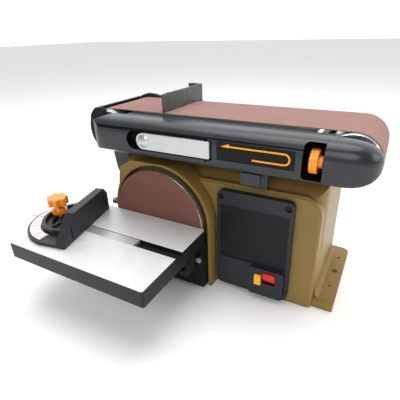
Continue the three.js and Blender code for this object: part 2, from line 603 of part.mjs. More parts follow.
// ---------------------------------------------------------------- mitre gauge
const mitreBar = () => block(-188, 16, SLOT.y - 7.7, SLOT.y + 7.7, TABLE.top - SLOT.depth + FIT, TABLE.top - 0.5);
const pivotStud = () => rodZ(0, 0, TABLE.top - 0.2, 16, 4, 16);

// The head is drawn square, round its pivot: the fence faces +X and the scale is on the -X side.
function mitreHead() {
  const z0 = TABLE.top + 0.4;
  const back = FENCE.face - FENCE.thick;
  const foot = new THREE.Shape();
  foot.moveTo(back + 2, FENCE.far);
  foot.absarc(0, 0, MITRE.head_radius, THREE.MathUtils.degToRad(100), THREE.MathUtils.degToRad(260), false);
  foot.lineTo(back + 2, FENCE.near);
  const fence = polygon([FENCE.near, z0], [FENCE.far, z0], [FENCE.far, 30.5], [49, FENCE.height],
    [FENCE.near + 31.5, FENCE.height], [FENCE.near, 9]);
  const hub = common(cut(rodZ(0, 0, 7, 16, 42, 48), rodZ(0, 0, 11, 20, 37.5, 48)), block(-60, back + 1, -60, 60, 0, 30));
  const webs = [130, 230].map((angle) => solid(new THREE.BoxGeometry(20, 3, 6).translate(28, 0, 11)
    .rotateZ(THREE.MathUtils.degToRad(angle + (angle < 180 ? -14 : 14)))));
  const swing = MITRE.swing + 8;
  const slot = alongZ(ringSector(0, 0, MITRE.stud_radius - 3.6, MITRE.stud_radius + 3.6, 180 - swing, 180 + swing), 0, 30);
  const slits = [[-44, 9, 24], [44, 12, 28]].map(([y, low, high]) => block(FENCE.face - 3, 50, y - 1, y + 1, low, high));
  const boss = rodZ(0, 0, 7, 15, 10, 32);
  return cut(join(alongZ(foot, z0, 8), alongX(fence, back, FENCE.face, 1), hub, boss, ...webs), slot,
    rodZ(0, 0, 0, 30, 4 + FIT, 24), ...slits);
}

const mitreScale = () => alongZ(ringSector(0, 0, 45.5, 59.5, 104, 256), 8.3, 8.9);

function mitreKnob() {
  const neck = join(rodZ(0, 0, 21, 31, 9, 28, 5.5), rodZ(0, 0, 17, 21.2, 11.5, 32), rodZ(0, 0, TABLE.top - 0.2, 18, LOCK.stud, 10));
  return join(neck, alongZ(lobed(15, 3.2, 7, 42), 30, 41.5, 1.8));
}

// ---------------------------------------------------------------- assembly
const [studY, studZ] = lockStud();
const mitreHeadGroup = groupAt(MITRE.x, MITRE.y, 0,
  piece('mitre_head', mitreHead(), CHARCOAL), piece('mitre_scale', mitreScale(), WHITE));
mitreHeadGroup.rotation.z = THREE.MathUtils.degToRad(MITRE.turn);

const fixedBase = groupAt(0, 0, 0,
  piece('base_housing', baseHousing(), OLIVE),
  piece('motor_housing', motorHousing(), STEEL),
  piece('drive_bearing_housing', bearingHousing(), CHARCOAL),
  piece('pulley_cover', pulleyCover(), LIGHT_GREY),
  groupAt(DRUM.x, 0, DRUM.z, piece('cover_screw_top', coverScrew(), STEEL)),
  groupAt(0, 0, 0, piece('cover_screw_bottom', coverScrew(), STEEL)),
  piece('drive_belt', driveBelt(), RUBBER),
  piece('switch_panel', switchPanel(), CHARCOAL),
  groupAt(99.5, PANEL.front, 50, piece('panel_screw_left', panelScrew(), BLACK)),
  groupAt(194.5, PANEL.front, 50, piece('panel_screw_right', panelScrew(), BLACK)),
  piece('switch_bezel', switchBezel(), BLACK),
  groupAt(ROCKER.x, ROCKER.y, ROCKER.z, piece('switch_rocker', switchRocker(), RED)),
  piece('switch_key', switchKey(), YELLOW),
  piece('lower_disc_guard', lowerGuard(), BLACK),
  piece('guard_screw', guardScrew(), STEEL),
  piece('shroud_bolt', shroudBolt(), STEEL),
  piece('table_bracket_left', tableBracket(-1), BLACK),
  piece('table_bracket_right', tableBracket(1), BLACK),
  piece('table_pivot_pin_left', pivotPin(-1), STEEL),
  piece('table_pivot_pin_right', pivotPin(1), STEEL),
  piece('arm_rest', armRest(), CHARCOAL),
  piece('rest_pad', block(140, 159, 5, 26, 98.8, COVER.bottom - FIT), RUBBER),
  piece('dust_chute', dustChute(), CHARCOAL),
  piece('cord_gland', cordGland(), RUBBER));

const rotor = groupAt(0, 0, 0,
  piece('motor_shaft', motorShaft(), STEEL),
  piece('motor_pulley', pulley(PULLEY.motor), STEEL),
  piece('motor_fan', motorFan(), BLACK),
  piece('disc_plate', discPlate(), ALUMINIUM),
  piece('abrasive_disc', abrasiveDisc(), GRIT_DISC));

const driveDrum = groupAt(DRUM.x, 0, DRUM.z,
  piece('drive_drum', drum(DRUM.shaft), ALUMINIUM),
  piece('drum_shaft', drumShaft(), STEEL),
  piece('drum_pulley', pulley(PULLEY.drum), STEEL));

const idler = groupAt(IDLER.x, 0, DRUM.z,
  piece('idler_drum', drum(IDLER.bore), ALUMINIUM),
  piece('idler_bearing_front', bearing(38), STEEL),
  piece('idler_bearing_rear', bearing(120), STEEL),
  piece('idler_axle', idlerAxle(), STEEL));

const beltArm = groupAt(0, 0, 0,
  piece('arm_frame', armFrame(), CHARCOAL),
  piece('platen', platen(), STEEL),
  piece('sanding_belt', sandingBelt(), GRIT_BELT),
  piece('front_cover', frontCover(), CHARCOAL),
  piece('end_dome', endDome(), CHARCOAL),
  piece('drum_hood', drumHood(), BLACK),
  piece('direction_label', directionLabel(), BLACK),
  piece('lever_pin', leverPin(), STEEL),
  piece('stop_bolt', stopBolt(), STEEL),
  piece('belt_stop', beltStop(), LIGHT_GREY),
  groupAt(LEVER.x, LEVER.y, (LEVER.bottom + LEVER.top) / 2, piece('tension_lever', tensionLever(), STEEL)),
  groupAt(TRACKING.x, TRACKING.y, TRACKING.z,
    piece('tracking_knob', trackingKnob(), ORANGE), piece('tracking_screw', trackingScrew(), STEEL)),
  piece('idler_carriage', idlerCarriage(), STEEL),
  piece('tension_spring', tensionSpring(), STEEL),
  idler);

const table = groupAt(0, 0, 0,
  piece('disc_table', discTable(), ALUMINIUM),
  piece('mitre_bar', mitreBar(), STEEL),
  groupAt(MITRE.x, MITRE.y, 0, piece('mitre_pivot_pin', pivotStud(), STEEL)),
  mitreHeadGroup,
  groupAt(MITRE.x - MITRE.stud_radius, MITRE.y, 0, piece('mitre_knob', mitreKnob(), ORANGE)));

const locks = groupAt(0, 0, 0,
  groupAt(LOCK.x, studY, studZ, piece('table_lock_knob_right', lockKnob(1), BLACK)),
  groupAt(-LOCK.x, studY, studZ, piece('table_lock_knob_left', lockKnob(-1), BLACK)));

const machine = groupAt(0, 0, 0, fixedBase, rotor, driveDrum, beltArm, table, locks);

// The origin is the middle of the whole machine's box, at the floor.
machine.updateMatrixWorld(true);
const extent = new THREE.Box3().setFromObject(machine, true);
const middle = extent.getCenter(new THREE.Vector3());
machine.position.set(-middle.x, -middle.y, -extent.min.z);

export default machine;
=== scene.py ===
"""Looks for the bench sander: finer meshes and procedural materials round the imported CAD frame.

Shapes are drawn in millimetres from the centre of the disc's front face, as the CAD is, with X along
the belt, Y to the back and Z up. finish_piece() turns them into metres in the frame of the part.
"""

from math import acos, atan2, cos, degrees, hypot, pi, radians, sin

import bmesh
import bpy
from mathutils import Matrix, Vector


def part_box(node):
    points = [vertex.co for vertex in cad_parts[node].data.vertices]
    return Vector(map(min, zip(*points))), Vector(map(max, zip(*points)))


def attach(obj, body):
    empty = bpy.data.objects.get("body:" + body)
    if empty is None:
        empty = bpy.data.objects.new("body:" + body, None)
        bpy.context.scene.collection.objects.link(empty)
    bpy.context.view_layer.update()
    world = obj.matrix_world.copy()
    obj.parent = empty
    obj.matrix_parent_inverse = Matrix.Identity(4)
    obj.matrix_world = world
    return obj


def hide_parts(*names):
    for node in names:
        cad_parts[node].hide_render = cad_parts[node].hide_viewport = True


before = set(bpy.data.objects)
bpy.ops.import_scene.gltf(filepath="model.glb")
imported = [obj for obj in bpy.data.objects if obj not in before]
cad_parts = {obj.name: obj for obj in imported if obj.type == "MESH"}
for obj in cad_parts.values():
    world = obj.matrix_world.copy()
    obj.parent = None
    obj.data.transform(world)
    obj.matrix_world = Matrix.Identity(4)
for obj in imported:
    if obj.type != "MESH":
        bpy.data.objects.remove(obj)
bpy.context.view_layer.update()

MM = 0.001
disc_low, disc_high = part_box("abrasive_disc")
ORIGIN = Vector(((disc_low.x + disc_high.x) / 2, disc_low.y, (disc_low.z + disc_high.z) / 2))


def local(node):
    """A node's box in millimetres from the disc's centre: (low corner, high corner)."""
    low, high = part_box(node)
    return (low - ORIGIN) / MM, (high - ORIGIN) / MM


# ------------------------------------------------------------------ sizes, read from the frame
DISC_RADIUS = local("abrasive_disc")[1].x
BELT_LOW, BELT_HIGH = local("sanding_belt")
DRUM_LOW, DRUM_HIGH = local("drive_drum")
DRUM_RADIUS = (DRUM_HIGH.z - DRUM_LOW.z) / 2
DRUM_X = (DRUM_LOW.x + DRUM_HIGH.x) / 2
DRUM_Z = (DRUM_LOW.z + DRUM_HIGH.z) / 2
IDLER_LOW, IDLER_HIGH = local("idler_drum")
IDLER_X = (IDLER_LOW.x + IDLER_HIGH.x) / 2
BELT_OUTER = (BELT_HIGH.z - BELT_LOW.z) / 2
FLOOR = local("base_housing")[0].z
TABLE_LOW, TABLE_HIGH = local("disc_table")
PANEL_LOW, PANEL_HIGH = local("switch_panel")
COVER_LOW, COVER_HIGH = local("front_cover")
DOME_LOW, DOME_HIGH = local("end_dome")

# ------------------------------------------------------------------ sizes shared by several shapes
GAP = 0.3                                    # clearance between pieces that sit against each other
SEAM = DOME_LOW.x - GAP                      # where the front cover ends and the end dome begins
BASE_LEFT, BASE_RIGHT, BASE_FRONT, BASE_BACK, BASE_TOP = -82, 236, 36, 204, 82
WALL = 3                                     # wall of the base housing
PLATEAU_FRONT, PLATEAU_RIGHT, PLATEAU_TOP = 28, 234, 66
RECESS, RECESS_BACK = 82, 24.7               # radius and depth of the well the disc runs in
PANEL_SCREWS = (99.5, 194.5)
COVER_WALL = 2.5
KNOB = Vector((218, -0.5, 125.5))            # middle of the tracking knob's left face
LEVER_PIN = Vector((93, -12.5, 125.35))
PIN_HOLE = 2.3
MITRE = Vector((-100, -71.9, 0))             # the pivot of the mitre head, and its turn at rest
MITRE_TURN = radians(14)


# ------------------------------------------------------------------ outlines
def oval(u, v, ru, rv, start, end, steps):
    """Points on an ellipse, angles in degrees."""
    angles = [radians(start + (end - start) * i / steps) for i in range(steps + 1)]
    return [(u + ru * cos(a), v + rv * sin(a)) for a in angles]


def arc(u, v, radius, start, end, steps=12):
    return oval(u, v, radius, radius, start, end, steps)


def bend(p, q, r, steps=12):
    """A quadratic curve from p to r, pulled towards q."""
    out = []
    for i in range(steps + 1):
        t = i / steps
        out.append(tuple((1 - t) ** 2 * a + 2 * t * (1 - t) * b + t * t * c for a, b, c in zip(p, q, r)))
    return out


def rounded(u0, v0, u1, v1, radii, steps=8):
    """A rectangle with radii at bottom left, bottom right, top right and top left."""
    if not isinstance(radii, (list, tuple)):
        radii = [radii] * 4
    corners = [(u0, v0, 1, 1, 180), (u1, v0, -1, 1, 270), (u1, v1, -1, -1, 0), (u0, v1, 1, -1, 90)]
    points = []
    for (u, v, du, dv, start), radius in zip(corners, radii):
        if radius <= 0:
            points.append((u, v))
        else:
            points += arc(u + du * radius, v + dv * radius, radius, start, start + 90, steps)
    return points


def wrap(u1, v1, r1, u2, v2, r2, steps=40):
    """A band pulled tight round two circles."""
    along = degrees(atan2(v2 - v1, u2 - u1))
    open_angle = degrees(acos((r1 - r2) / hypot(u2 - u1, v2 - v1)))
    return (arc(u1, v1, r1, along + open_angle, along - open_angle + 360, steps)
            + arc(u2, v2, r2, along - open_angle, along + open_angle, steps))


def sector(u, v, inner, outer, start, end, steps=40):
    return arc(u, v, outer, start, end, steps) + arc(u, v, inner, end, start, steps)


def lobed(radius, depth, lobes, steps=140):
    points = []
    for i in range(steps):
        angle = 2 * pi * i / steps
        reach = radius - depth * (0.5 - 0.5 * cos(lobes * angle)) ** 1.4
        points.append((reach * cos(angle), reach * sin(angle)))
    return points


# ------------------------------------------------------------------ solids
def to_object(bm, name="work"):
    bmesh.ops.recalc_face_normals(bm, faces=bm.faces)
    mesh = bpy.data.meshes.new(name)
    bm.to_mesh(mesh)
    bm.free()
    obj = bpy.data.objects.new(name, mesh)
    bpy.context.scene.collection.objects.link(obj)
    return obj


AXES = {
    "X": lambda u, v, w: (w, u, v),
    "Y": lambda u, v, w: (u, w, v),
    "Z": lambda u, v, w: (u, v, w),
}


def prism(points, axis, low, high):
    """An outline pushed along an axis; (u, v) are the other two axes in the order X, Y, Z."""
    bm = bmesh.new()
    spot = AXES[axis]
    rings = [[bm.verts.new(spot(u, v, w)) for u, v in points] for w in (low, high)]
    count = len(points)
    bm.faces.new(rings[0])
    bm.faces.new(list(reversed(rings[1])))
    for i in range(count):
        j = (i + 1) % count
        bm.faces.new((rings[0][i], rings[0][j], rings[1][j], rings[1][i]))
    bmesh.ops.remove_doubles(bm, verts=bm.verts, dist=1e-4)
    return to_object(bm)


def rod(axis, a, b, low, high, radius, sides=48):
    return prism(arc(a, b, radius, 0, 360 * (sides - 1) / sides, sides - 1), axis, low, high)


def box(x0, x1, y0, y1, z0, z1):
    return prism([(x0, y0), (x1, y0), (x1, y1), (x0, y1)], "Z", z0, z1)


def lathe(profile, axis, a=0, b=0, sides=96):
    """A profile of (radius, height) turned about an axis. Radius 0 closes the end."""
    bm = bmesh.new()
    spot = AXES[axis]
    rings = []
    for radius, height in profile:
        if radius < 1e-6:
            rings.append([bm.verts.new(spot(a, b, height))])
        else:
            rings.append([bm.verts.new(spot(a + radius * cos(2 * pi * i / sides),
                                            b + radius * sin(2 * pi * i / sides), height))
                          for i in range(sides)])
    pairs = list(zip(rings, rings[1:]))
    if len(rings[0]) > 1 and len(rings[-1]) > 1:
        pairs.append((rings[-1], rings[0]))
    for lower, upper in pairs:
        for i in range(sides):
            j = (i + 1) % sides
            below = [lower[i % len(lower)], lower[j % len(lower)]]
            above = [upper[j % len(upper)], upper[i % len(upper)]]
            face = list(dict.fromkeys(below + above))
            if len(face) > 2:
                bm.faces.new(face)
    return to_object(bm)


def solid_op(target, operation, tools):
    """Applies one boolean per tool to the target and removes the tools."""
    for tool in tools:
        modifier = target.modifiers.new("cut", "BOOLEAN")
        modifier.operation = operation
        modifier.solver = "MANIFOLD"
        modifier.object = tool
    bpy.context.view_layer.update()
    graph = bpy.context.evaluated_depsgraph_get()
    mesh = bpy.data.meshes.new_from_object(target.evaluated_get(graph))
    target.modifiers.clear()
    target.data = mesh
    for tool in tools:
        bpy.data.objects.remove(tool)
    return target


def join(first, *rest):
    return solid_op(first, "UNION", rest)


def cut(first, *rest):
    return solid_op(first, "DIFFERENCE", rest)


def common(first, *rest):
    return solid_op(first, "INTERSECT", rest)


def bevelled(obj, width, segments, angle=32):
    """Rounds the edges sharper than an angle and keeps the result as the object's mesh."""
    modifier = obj.modifiers.new("edge", "BEVEL")
    modifier.width = width
    modifier.segments = segments
    modifier.limit_method = "ANGLE"
    modifier.angle_limit = radians(angle)
    modifier.use_clamp_overlap = True
    bpy.context.view_layer.update()
    graph = bpy.context.evaluated_depsgraph_get()
    mesh = bpy.data.meshes.new_from_object(obj.evaluated_get(graph))
    obj.modifiers.clear()
    obj.data = mesh
    return obj


def moved(obj, x=0, y=0, z=0, turn_z=0.0):
    obj.data.transform(Matrix.Translation((x, y, z)) @ Matrix.Rotation(turn_z, 4, "Z"))
    return obj


def finish_piece(obj, name, body, material, stands_for=(), edge=0.0, segments=3, smooth=35):
    """Bevels a solid drawn in millimetres, turns it into metres and rides it on its body."""
    if edge:
        bevelled(obj, edge, segments)
    obj.name = name
    obj.data.name = name
    obj.data.transform(Matrix.Translation(ORIGIN) @ Matrix.Scale(MM, 4))
    obj.data.materials.clear()
    obj.data.materials.append(material)
    for polygon in obj.data.polygons:
        polygon.use_smooth = True
    obj.data.set_sharp_from_angle(angle=radians(smooth))
    weighted = obj.modifiers.new("shade", "WEIGHTED_NORMAL")
    weighted.keep_sharp = True
    weighted.weight = 80
    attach(obj, body)
    if stands_for:
        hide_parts(*stands_for)
    return obj


# ------------------------------------------------------------------ materials
MIX_A, MIX_B, MIX_RESULT = 6, 7, 2           # the colour sockets of a Mix node


class Surface:
    """A Principled material with object coordinates in metres and small helpers for its nodes."""

    def __init__(self, name, roughness=0.5, metallic=0.0, **constants):
        self.material = bpy.data.materials.new(name)
        self.material.use_nodes = True
        self.tree = self.material.node_tree
        self.shader = self.tree.nodes["Principled BSDF"]
        self.shader.inputs["Roughness"].default_value = roughness
        self.shader.inputs["Metallic"].default_value = metallic
        for socket, value in constants.items():
            self.shader.inputs[socket.replace("_", " ")].default_value = value
        self.place = self.tree.nodes.new("ShaderNodeTexCoord").outputs["Object"]

    def node(self, kind, **values):
        made = self.tree.nodes.new(kind)
        for key, value in values.items():
            setattr(made, key, value)
        return made

    def link(self, source, target):
        self.tree.links.new(source, target)

    def stretched(self, x, y, z):
        mapping = self.node("ShaderNodeMapping")
        mapping.inputs["Scale"].default_value = (x, y, z)
        self.link(self.place, mapping.inputs["Vector"])
        return mapping.outputs["Vector"]

    def noise(self, scale, detail=3.0, roughness=0.55, vector=None):
        made = self.node("ShaderNodeTexNoise")
        made.inputs["Scale"].default_value = scale
        made.inputs["Detail"].default_value = detail
        made.inputs["Roughness"].default_value = roughness
        self.link(vector or self.place, made.inputs["Vector"])
        return made.outputs["Fac"]

    def ramp(self, source, *stops):
        made = self.node("ShaderNodeValToRGB")
        elements = made.color_ramp.elements
        while len(elements) < len(stops):
            elements.new(0.5)
        for element, (position, colour) in zip(elements, stops):
            element.position = position
            element.color = (*colour, 1)
        self.link(source, made.inputs["Fac"])
        return made.outputs["Color"]

    def mix(self, factor, a, b):
        made = self.node("ShaderNodeMix", data_type="RGBA")
        self.feed(made.inputs["Factor"], factor)
        self.feed(made.inputs[MIX_A], a)
        self.feed(made.inputs[MIX_B], b)
        return made.outputs[MIX_RESULT]

    def feed(self, socket, value):
        if isinstance(value, bpy.types.NodeSocket):
            self.link(value, socket)
        elif isinstance(value, tuple):
            socket.default_value = (*value, 1)
        else:
            socket.default_value = value

    def colour(self, source):
        self.feed(self.shader.inputs["Base Color"], source)

    def rough(self, source, low, high):
        made = self.node("ShaderNodeMapRange")
        made.inputs["To Min"].default_value = low
        made.inputs["To Max"].default_value = high
        self.link(source, made.inputs["Value"])
        self.link(made.outputs["Result"], self.shader.inputs["Roughness"])

    def bump(self, source, strength, distance, chain=None):
        made = self.node("ShaderNodeBump")
        made.inputs["Strength"].default_value = strength
        made.inputs["Distance"].default_value = distance
        self.link(source, made.inputs["Height"])
        if chain:
            self.link(chain, made.inputs["Normal"])
        self.link(made.outputs["Normal"], self.shader.inputs["Normal"])
        return made.outputs["Normal"]


def scaled(colour, factor):
    return tuple(min(1.0, c * factor) for c in colour)


def powder_coat(name, colour, roughness=0.45, specular=0.3):
    """Baked powder paint: faint cloudy tone and orange-peel bump."""
    s = Surface(name, roughness, Coat_Weight=0.06, Coat_Roughness=0.35, Specular_IOR_Level=specular)
    clouds = s.noise(9, 4)
    s.colour(s.ramp(clouds, (0.3, scaled(colour, 0.9)), (0.7, scaled(colour, 1.1))))
    s.rough(s.noise(60, 3), roughness - 0.07, roughness + 0.08)
    first = s.bump(s.noise(900, 2), 0.25, 0.00025)
    s.bump(s.noise(260, 2), 0.12, 0.0004, first)
    return s.material


def moulded(name, colour, roughness=0.4, grain=0.3, coat=0.0, specular=0.3):
    """Moulded plastic with a fine spark-eroded grain and slight wear in the gloss."""
    s = Surface(name, roughness, Coat_Weight=coat, Coat_Roughness=0.2, Specular_IOR_Level=specular)
    tone = s.noise(14, 3)
    s.colour(s.ramp(tone, (0.3, scaled(colour, 0.92)), (0.7, scaled(colour, 1.1))))
    s.rough(s.noise(45, 4), roughness - 0.06, roughness + 0.08)
    s.bump(s.noise(1600, 2), grain, 0.00012)
    return s.material


BRUSHED_ALONG_X = (4, 700, 700)
NOT_BRUSHED = (300, 300, 300)


def brushed(name, colour, roughness, metallic, stretch, strength=0.25):
    """Metal whose fine lines follow the stretch of its noise."""
    s = Surface(name, roughness, metallic)
    lines = s.noise(1, 4, 0.6, s.stretched(*stretch))
    clouds = s.noise(18, 3)
    tone = s.ramp(clouds, (0.3, scaled(colour, 0.92)), (0.7, scaled(colour, 1.05)))
    s.colour(s.mix(0.25, tone, s.ramp(lines, (0.35, scaled(colour, 0.75)), (0.65, scaled(colour, 1.15)))))
    s.rough(lines, roughness - 0.07, roughness + 0.12)
    s.bump(lines, strength, 0.00008)
    return s.material


def machined(name, colour):
    """A ground cast-aluminium face: pale, mottled, with faint lines along the belt's direction."""
    s = Surface(name, 0.42, 0.35)
    mottle = s.noise(70, 6, 0.65)
    broad = s.noise(12, 4)
    tone = s.ramp(mottle, (0.35, scaled(colour, 0.9)), (0.62, colour))
    s.colour(s.mix(0.35, tone, s.ramp(broad, (0.35, scaled(colour, 0.88)), (0.65, scaled(colour, 1.03)))))
    s.rough(mottle, 0.34, 0.52)
    fine = s.bump(s.noise(1, 3, 0.5, s.stretched(25, 900, 900)), 0.12, 0.00006)
    s.bump(s.noise(500, 3), 0.1, 0.0001, fine)
    return s.material


def coated_abrasive(name, colour, grain_scale):
    """Bonded grit: a dense speckle of pale and dark grains over the resin colour."""
    s = Surface(name, 0.85, Specular_IOR_Level=0.25)
    grains = s.node("ShaderNodeTexVoronoi")
    grains.inputs["Scale"].default_value = grain_scale
    s.link(s.place, grains.inputs["Vector"])
    speckle = s.noise(grain_scale * 0.8, 3, 0.7)
    broad = s.noise(22, 4)
    base = s.ramp(speckle, (0.3, scaled(colour, 0.62)), (0.5, colour), (0.72, scaled(colour, 1.5)))
    s.colour(s.mix(0.4, base, s.ramp(broad, (0.3, scaled(colour, 0.88)), (0.7, scaled(colour, 1.15)))))
    first = s.bump(grains.outputs["Distance"], 0.6, 0.00035)
    s.bump(speckle, 0.35, 0.0003, first)
    return s.material


def rubbery(name, colour):
    """Dull rubber with an uneven tone."""
    s = Surface(name, 0.75)
    s.colour(s.ramp(s.noise(40, 4), (0.3, scaled(colour, 0.8)), (0.7, scaled(colour, 1.3))))
    s.bump(s.noise(1400, 3), 0.3, 0.0002)
    return s.material


def galvanised(name, colour, roughness=0.38):
    """Sheet or turned steel with a faint mottled sheen."""
    s = Surface(name, roughness, 0.85)
    s.colour(s.ramp(s.noise(120, 4), (0.35, scaled(colour, 0.86)), (0.65, scaled(colour, 1.08))))
    s.rough(s.noise(60, 3), roughness - 0.08, roughness + 0.1)
    s.bump(s.noise(800, 2), 0.12, 0.00008)
    return s.material


OLIVE = powder_coat("olive_powder_coat", (0.235, 0.150, 0.038))
CHARCOAL = moulded("charcoal_plastic", (0.026, 0.030, 0.034), 0.34, 0.2, 0.12)
DOME_GLOSS = moulded("dome_plastic", (0.018, 0.021, 0.024), 0.3, 0.08, 0.2)
# Painted shade: a near-black copy of the cover plastic, laid on hollow inner faces and the lever pin where
# they fall in shadow
PAINTED_SHADE = moulded("painted_shade_plastic", (0.003, 0.0033, 0.004), 0.65, 0.2, specular=0.1)
PANEL = moulded("panel_plastic", (0.015, 0.018, 0.022), 0.4, 0.3)
PANEL_INSET = moulded("panel_inset_plastic", (0.007, 0.0085, 0.0105), 0.45, 0.3, specular=0.2)
CASTING = powder_coat("charcoal_casting", (0.018, 0.020, 0.023), 0.42)
BLACK = moulded("black_plastic", (0.005, 0.0053, 0.006), 0.5, 0.35, specular=0.2)
BLACK_PAINT = powder_coat("black_paint", (0.007, 0.0075, 0.0085), 0.42, 0.22)
LIGHT_GREY = moulded("light_grey_plastic", (0.36, 0.37, 0.37), 0.45, 0.3)
SHEET = galvanised("grey_sheet", (0.115, 0.12, 0.12), 0.45)
STEEL = galvanised("turned_steel", (0.58, 0.59, 0.60), 0.3)
LEVER_STEEL = brushed("brushed_lever", (0.56, 0.565, 0.57), 0.32, 0.75, BRUSHED_ALONG_X)
BRIGHT = brushed("bright_aluminium", (0.88, 0.89, 0.90), 0.22, 0.9, NOT_BRUSHED, 0.1)
TABLE_FACE = machined("machined_table", (0.70, 0.705, 0.71))
BAR_STEEL = brushed("brushed_bar", (0.66, 0.665, 0.67), 0.3, 0.7, BRUSHED_ALONG_X)
BELT_GRIT = coated_abrasive("belt_grit", (0.275, 0.155, 0.135), 1300)
DISC_GRIT = coated_abrasive("disc_grit", (0.190, 0.082, 0.062), 1300)
BELT_CLOTH = coated_abrasive("belt_cloth_back", (0.30, 0.22, 0.15), 2200)
ORANGE = moulded("orange_plastic", (0.90, 0.27, 0.010), 0.28, 0.1, 0.3)
RED = moulded("red_plastic", (0.62, 0.012, 0.018), 0.28, 0.1, 0.3)
YELLOW = moulded("yellow_plastic", (0.90, 0.44, 0.015), 0.28, 0.1, 0.3)
LABEL = moulded("label_film", (0.006, 0.0065, 0.007), 0.4, 0.05, specular=0.15)
LABEL_INK = moulded("label_ink", (0.93, 0.36, 0.010), 0.45, 0.05, specular=0.2)
PALE_INK = moulded("scale_white", (0.80, 0.80, 0.78), 0.45, 0.05)
RED_INK = moulded("scale_red", (0.55, 0.012, 0.012), 0.45, 0.05)
RUBBER = rubbery("black_rubber", (0.012, 0.012, 0.012))


# ------------------------------------------------------------------ base
def base_outside():
    """The box of the base with its curved top edge, and the raised face the switch panel sits on."""
    edge = 6
    side = ([(BASE_FRONT, FLOOR), (BASE_BACK, FLOOR), (BASE_BACK, BASE_TOP - edge)]
            + arc(BASE_BACK - edge, BASE_TOP - edge, edge, 0, 90, 6)
            + bend((74, BASE_TOP), (46, BASE_TOP), (BASE_FRONT, 58), 14))
    plan = rounded(BASE_LEFT, BASE_FRONT, BASE_RIGHT, BASE_BACK, [8, 22, 14, 8], 10)
    body = common(prism(side, "X", BASE_LEFT, BASE_RIGHT), prism(plan, "Z", FLOOR, 90))
    chamfer, corner = 2.5, 26
    face = rounded(BASE_LEFT, FLOOR, PLATEAU_RIGHT, PLATEAU_TOP, [0, 0, corner, 0], 14)
    inner = rounded(BASE_LEFT, FLOOR, PLATEAU_RIGHT - chamfer, PLATEAU_TOP - chamfer,
                    [0, 0, corner - chamfer, 0], 14)
    plateau = loft([(PLATEAU_FRONT, inner), (29, inner), (30.8, face), (58, face)])
    return join(body, common(plateau, box(BASE_LEFT, PLATEAU_RIGHT, PLATEAU_FRONT, 58, FLOOR, BASE_TOP)))


def loft(rings):
    """Solid through outlines of equal length, each at its own Y."""
    bm = bmesh.new()
    made = [[bm.verts.new((u, y, v)) for u, v in points] for y, points in rings]
    bm.faces.new(made[0])
    bm.faces.new(list(reversed(made[-1])))
    for lower, upper in zip(made, made[1:]):
        for i in range(len(lower)):
            j = (i + 1) % len(lower)
            bm.faces.new((lower[i], lower[j], upper[j], upper[i]))
    return to_object(bm)


def shroud_outline(radius, corner):
    """The arch round the disc, with its squared upper left corner."""
    return ([(-radius, FLOOR), (radius, FLOOR)] + arc(0, 0, radius, 0, 84, 32)
            + [(-46 - corner, 84.4), (-70 - corner, 71 - corner)] + arc(0, 0, radius, 152, 180, 10))


def flange(x0, x1, hole_x, corners):
    """A bolting flange with a raised front lip, one bolt hole and two small ones."""
    lip = [(34, FLOOR), (51, FLOOR), (51, FLOOR + 6), (48, FLOOR + 8), (46, FLOOR + 8), (34, FLOOR + 3)]
    plate = join(prism(rounded(x0, 34, x1, 200, corners), "Z", FLOOR, FLOOR + 6),
                 prism(lip, "X", x0 + GAP, x1 - GAP))
    places = ((164, 2.2), (124, 4.6), (84, 2.2))
    return cut(plate, *[rod("Z", hole_x, y, FLOOR - 1, FLOOR + 20, r, 24) for y, r in places])


def housing_outside():
    arches = [(8, shroud_outline(85.5, 0)), (11, shroud_outline(87, 0.6)), (44, shroud_outline(88, 1))]
    shroud = common(loft(arches), box(-100, 100, 0, 60, FLOOR, 84.5))
    skirt = prism([(226, FLOOR), (243, FLOOR + 5), (240, FLOOR + 8), (236.4, FLOOR + 12), (235.8, FLOOR + 20),
                   (226, FLOOR + 20)], "Y", 46, 190)
    ear = prism(wrap(DRUM_X, DRUM_Z, 31, 0, 0, 34), "Y", BASE_BACK - WALL, BASE_BACK)
    body = join(base_outside(), shroud, flange(226, 263.5, 251.5, [0, 2, 12, 0]),
                flange(-109.5, -72, -97.5, [2, 0, 0, 12]), skirt)
    return join(body, ear)


def housing_hollow():
    """The room inside the base, one wall thickness in, without the space the drum bearing fills."""
    left, right, front, back = BASE_LEFT + WALL, BASE_RIGHT - WALL, BASE_FRONT + WALL, BASE_BACK - WALL
    top = BASE_TOP - WALL
    side = ([(front, FLOOR - 1), (back, FLOOR - 1), (back, top), (74, top)]
            + bend((74, top), (50, top), (front, 56), 8)[1:])
    plan = rounded(left, front, right, back, [6, 19, 11, 6])
    room = common(prism(side, "X", left, right), prism(plan, "Z", FLOOR - 1, 90))
    front_room = box(left, 226, 31, 41, FLOOR - 1, 54)
    return cut(join(room, front_room), rod("Y", DRUM_X, DRUM_Z, 10, 150, 45, 96))


def housing():
    """The olive shell: box, shroud arch, flanges and pulley ear, hollowed out and bored."""
    outside = housing_outside()
    hollow = housing_hollow()
    recess = join(rod("Y", 0, 0, 0, RECESS_BACK, RECESS, 128),
                  box(-RECESS, RECESS, 0, RECESS_BACK, FLOOR - 1, 0))
    bearing_bore = rod("Y", DRUM_X, DRUM_Z, 20, 147, 42, 96)
    shaft_holes = [rod("Y", 0, 0, 20, 40, 14), rod("Y", 0, 0, 195, 210, 17),
                   rod("Y", DRUM_X, DRUM_Z, 195, 210, 19)]
    switch_hole = box(147, 195, 20, 40, -94, -52)
    cord_hole = rod("Y", 200, -70, 190, 210, 6.3, 24)
    return cut(outside, hollow, bearing_bore, recess, *shaft_holes, switch_hole, cord_hole)


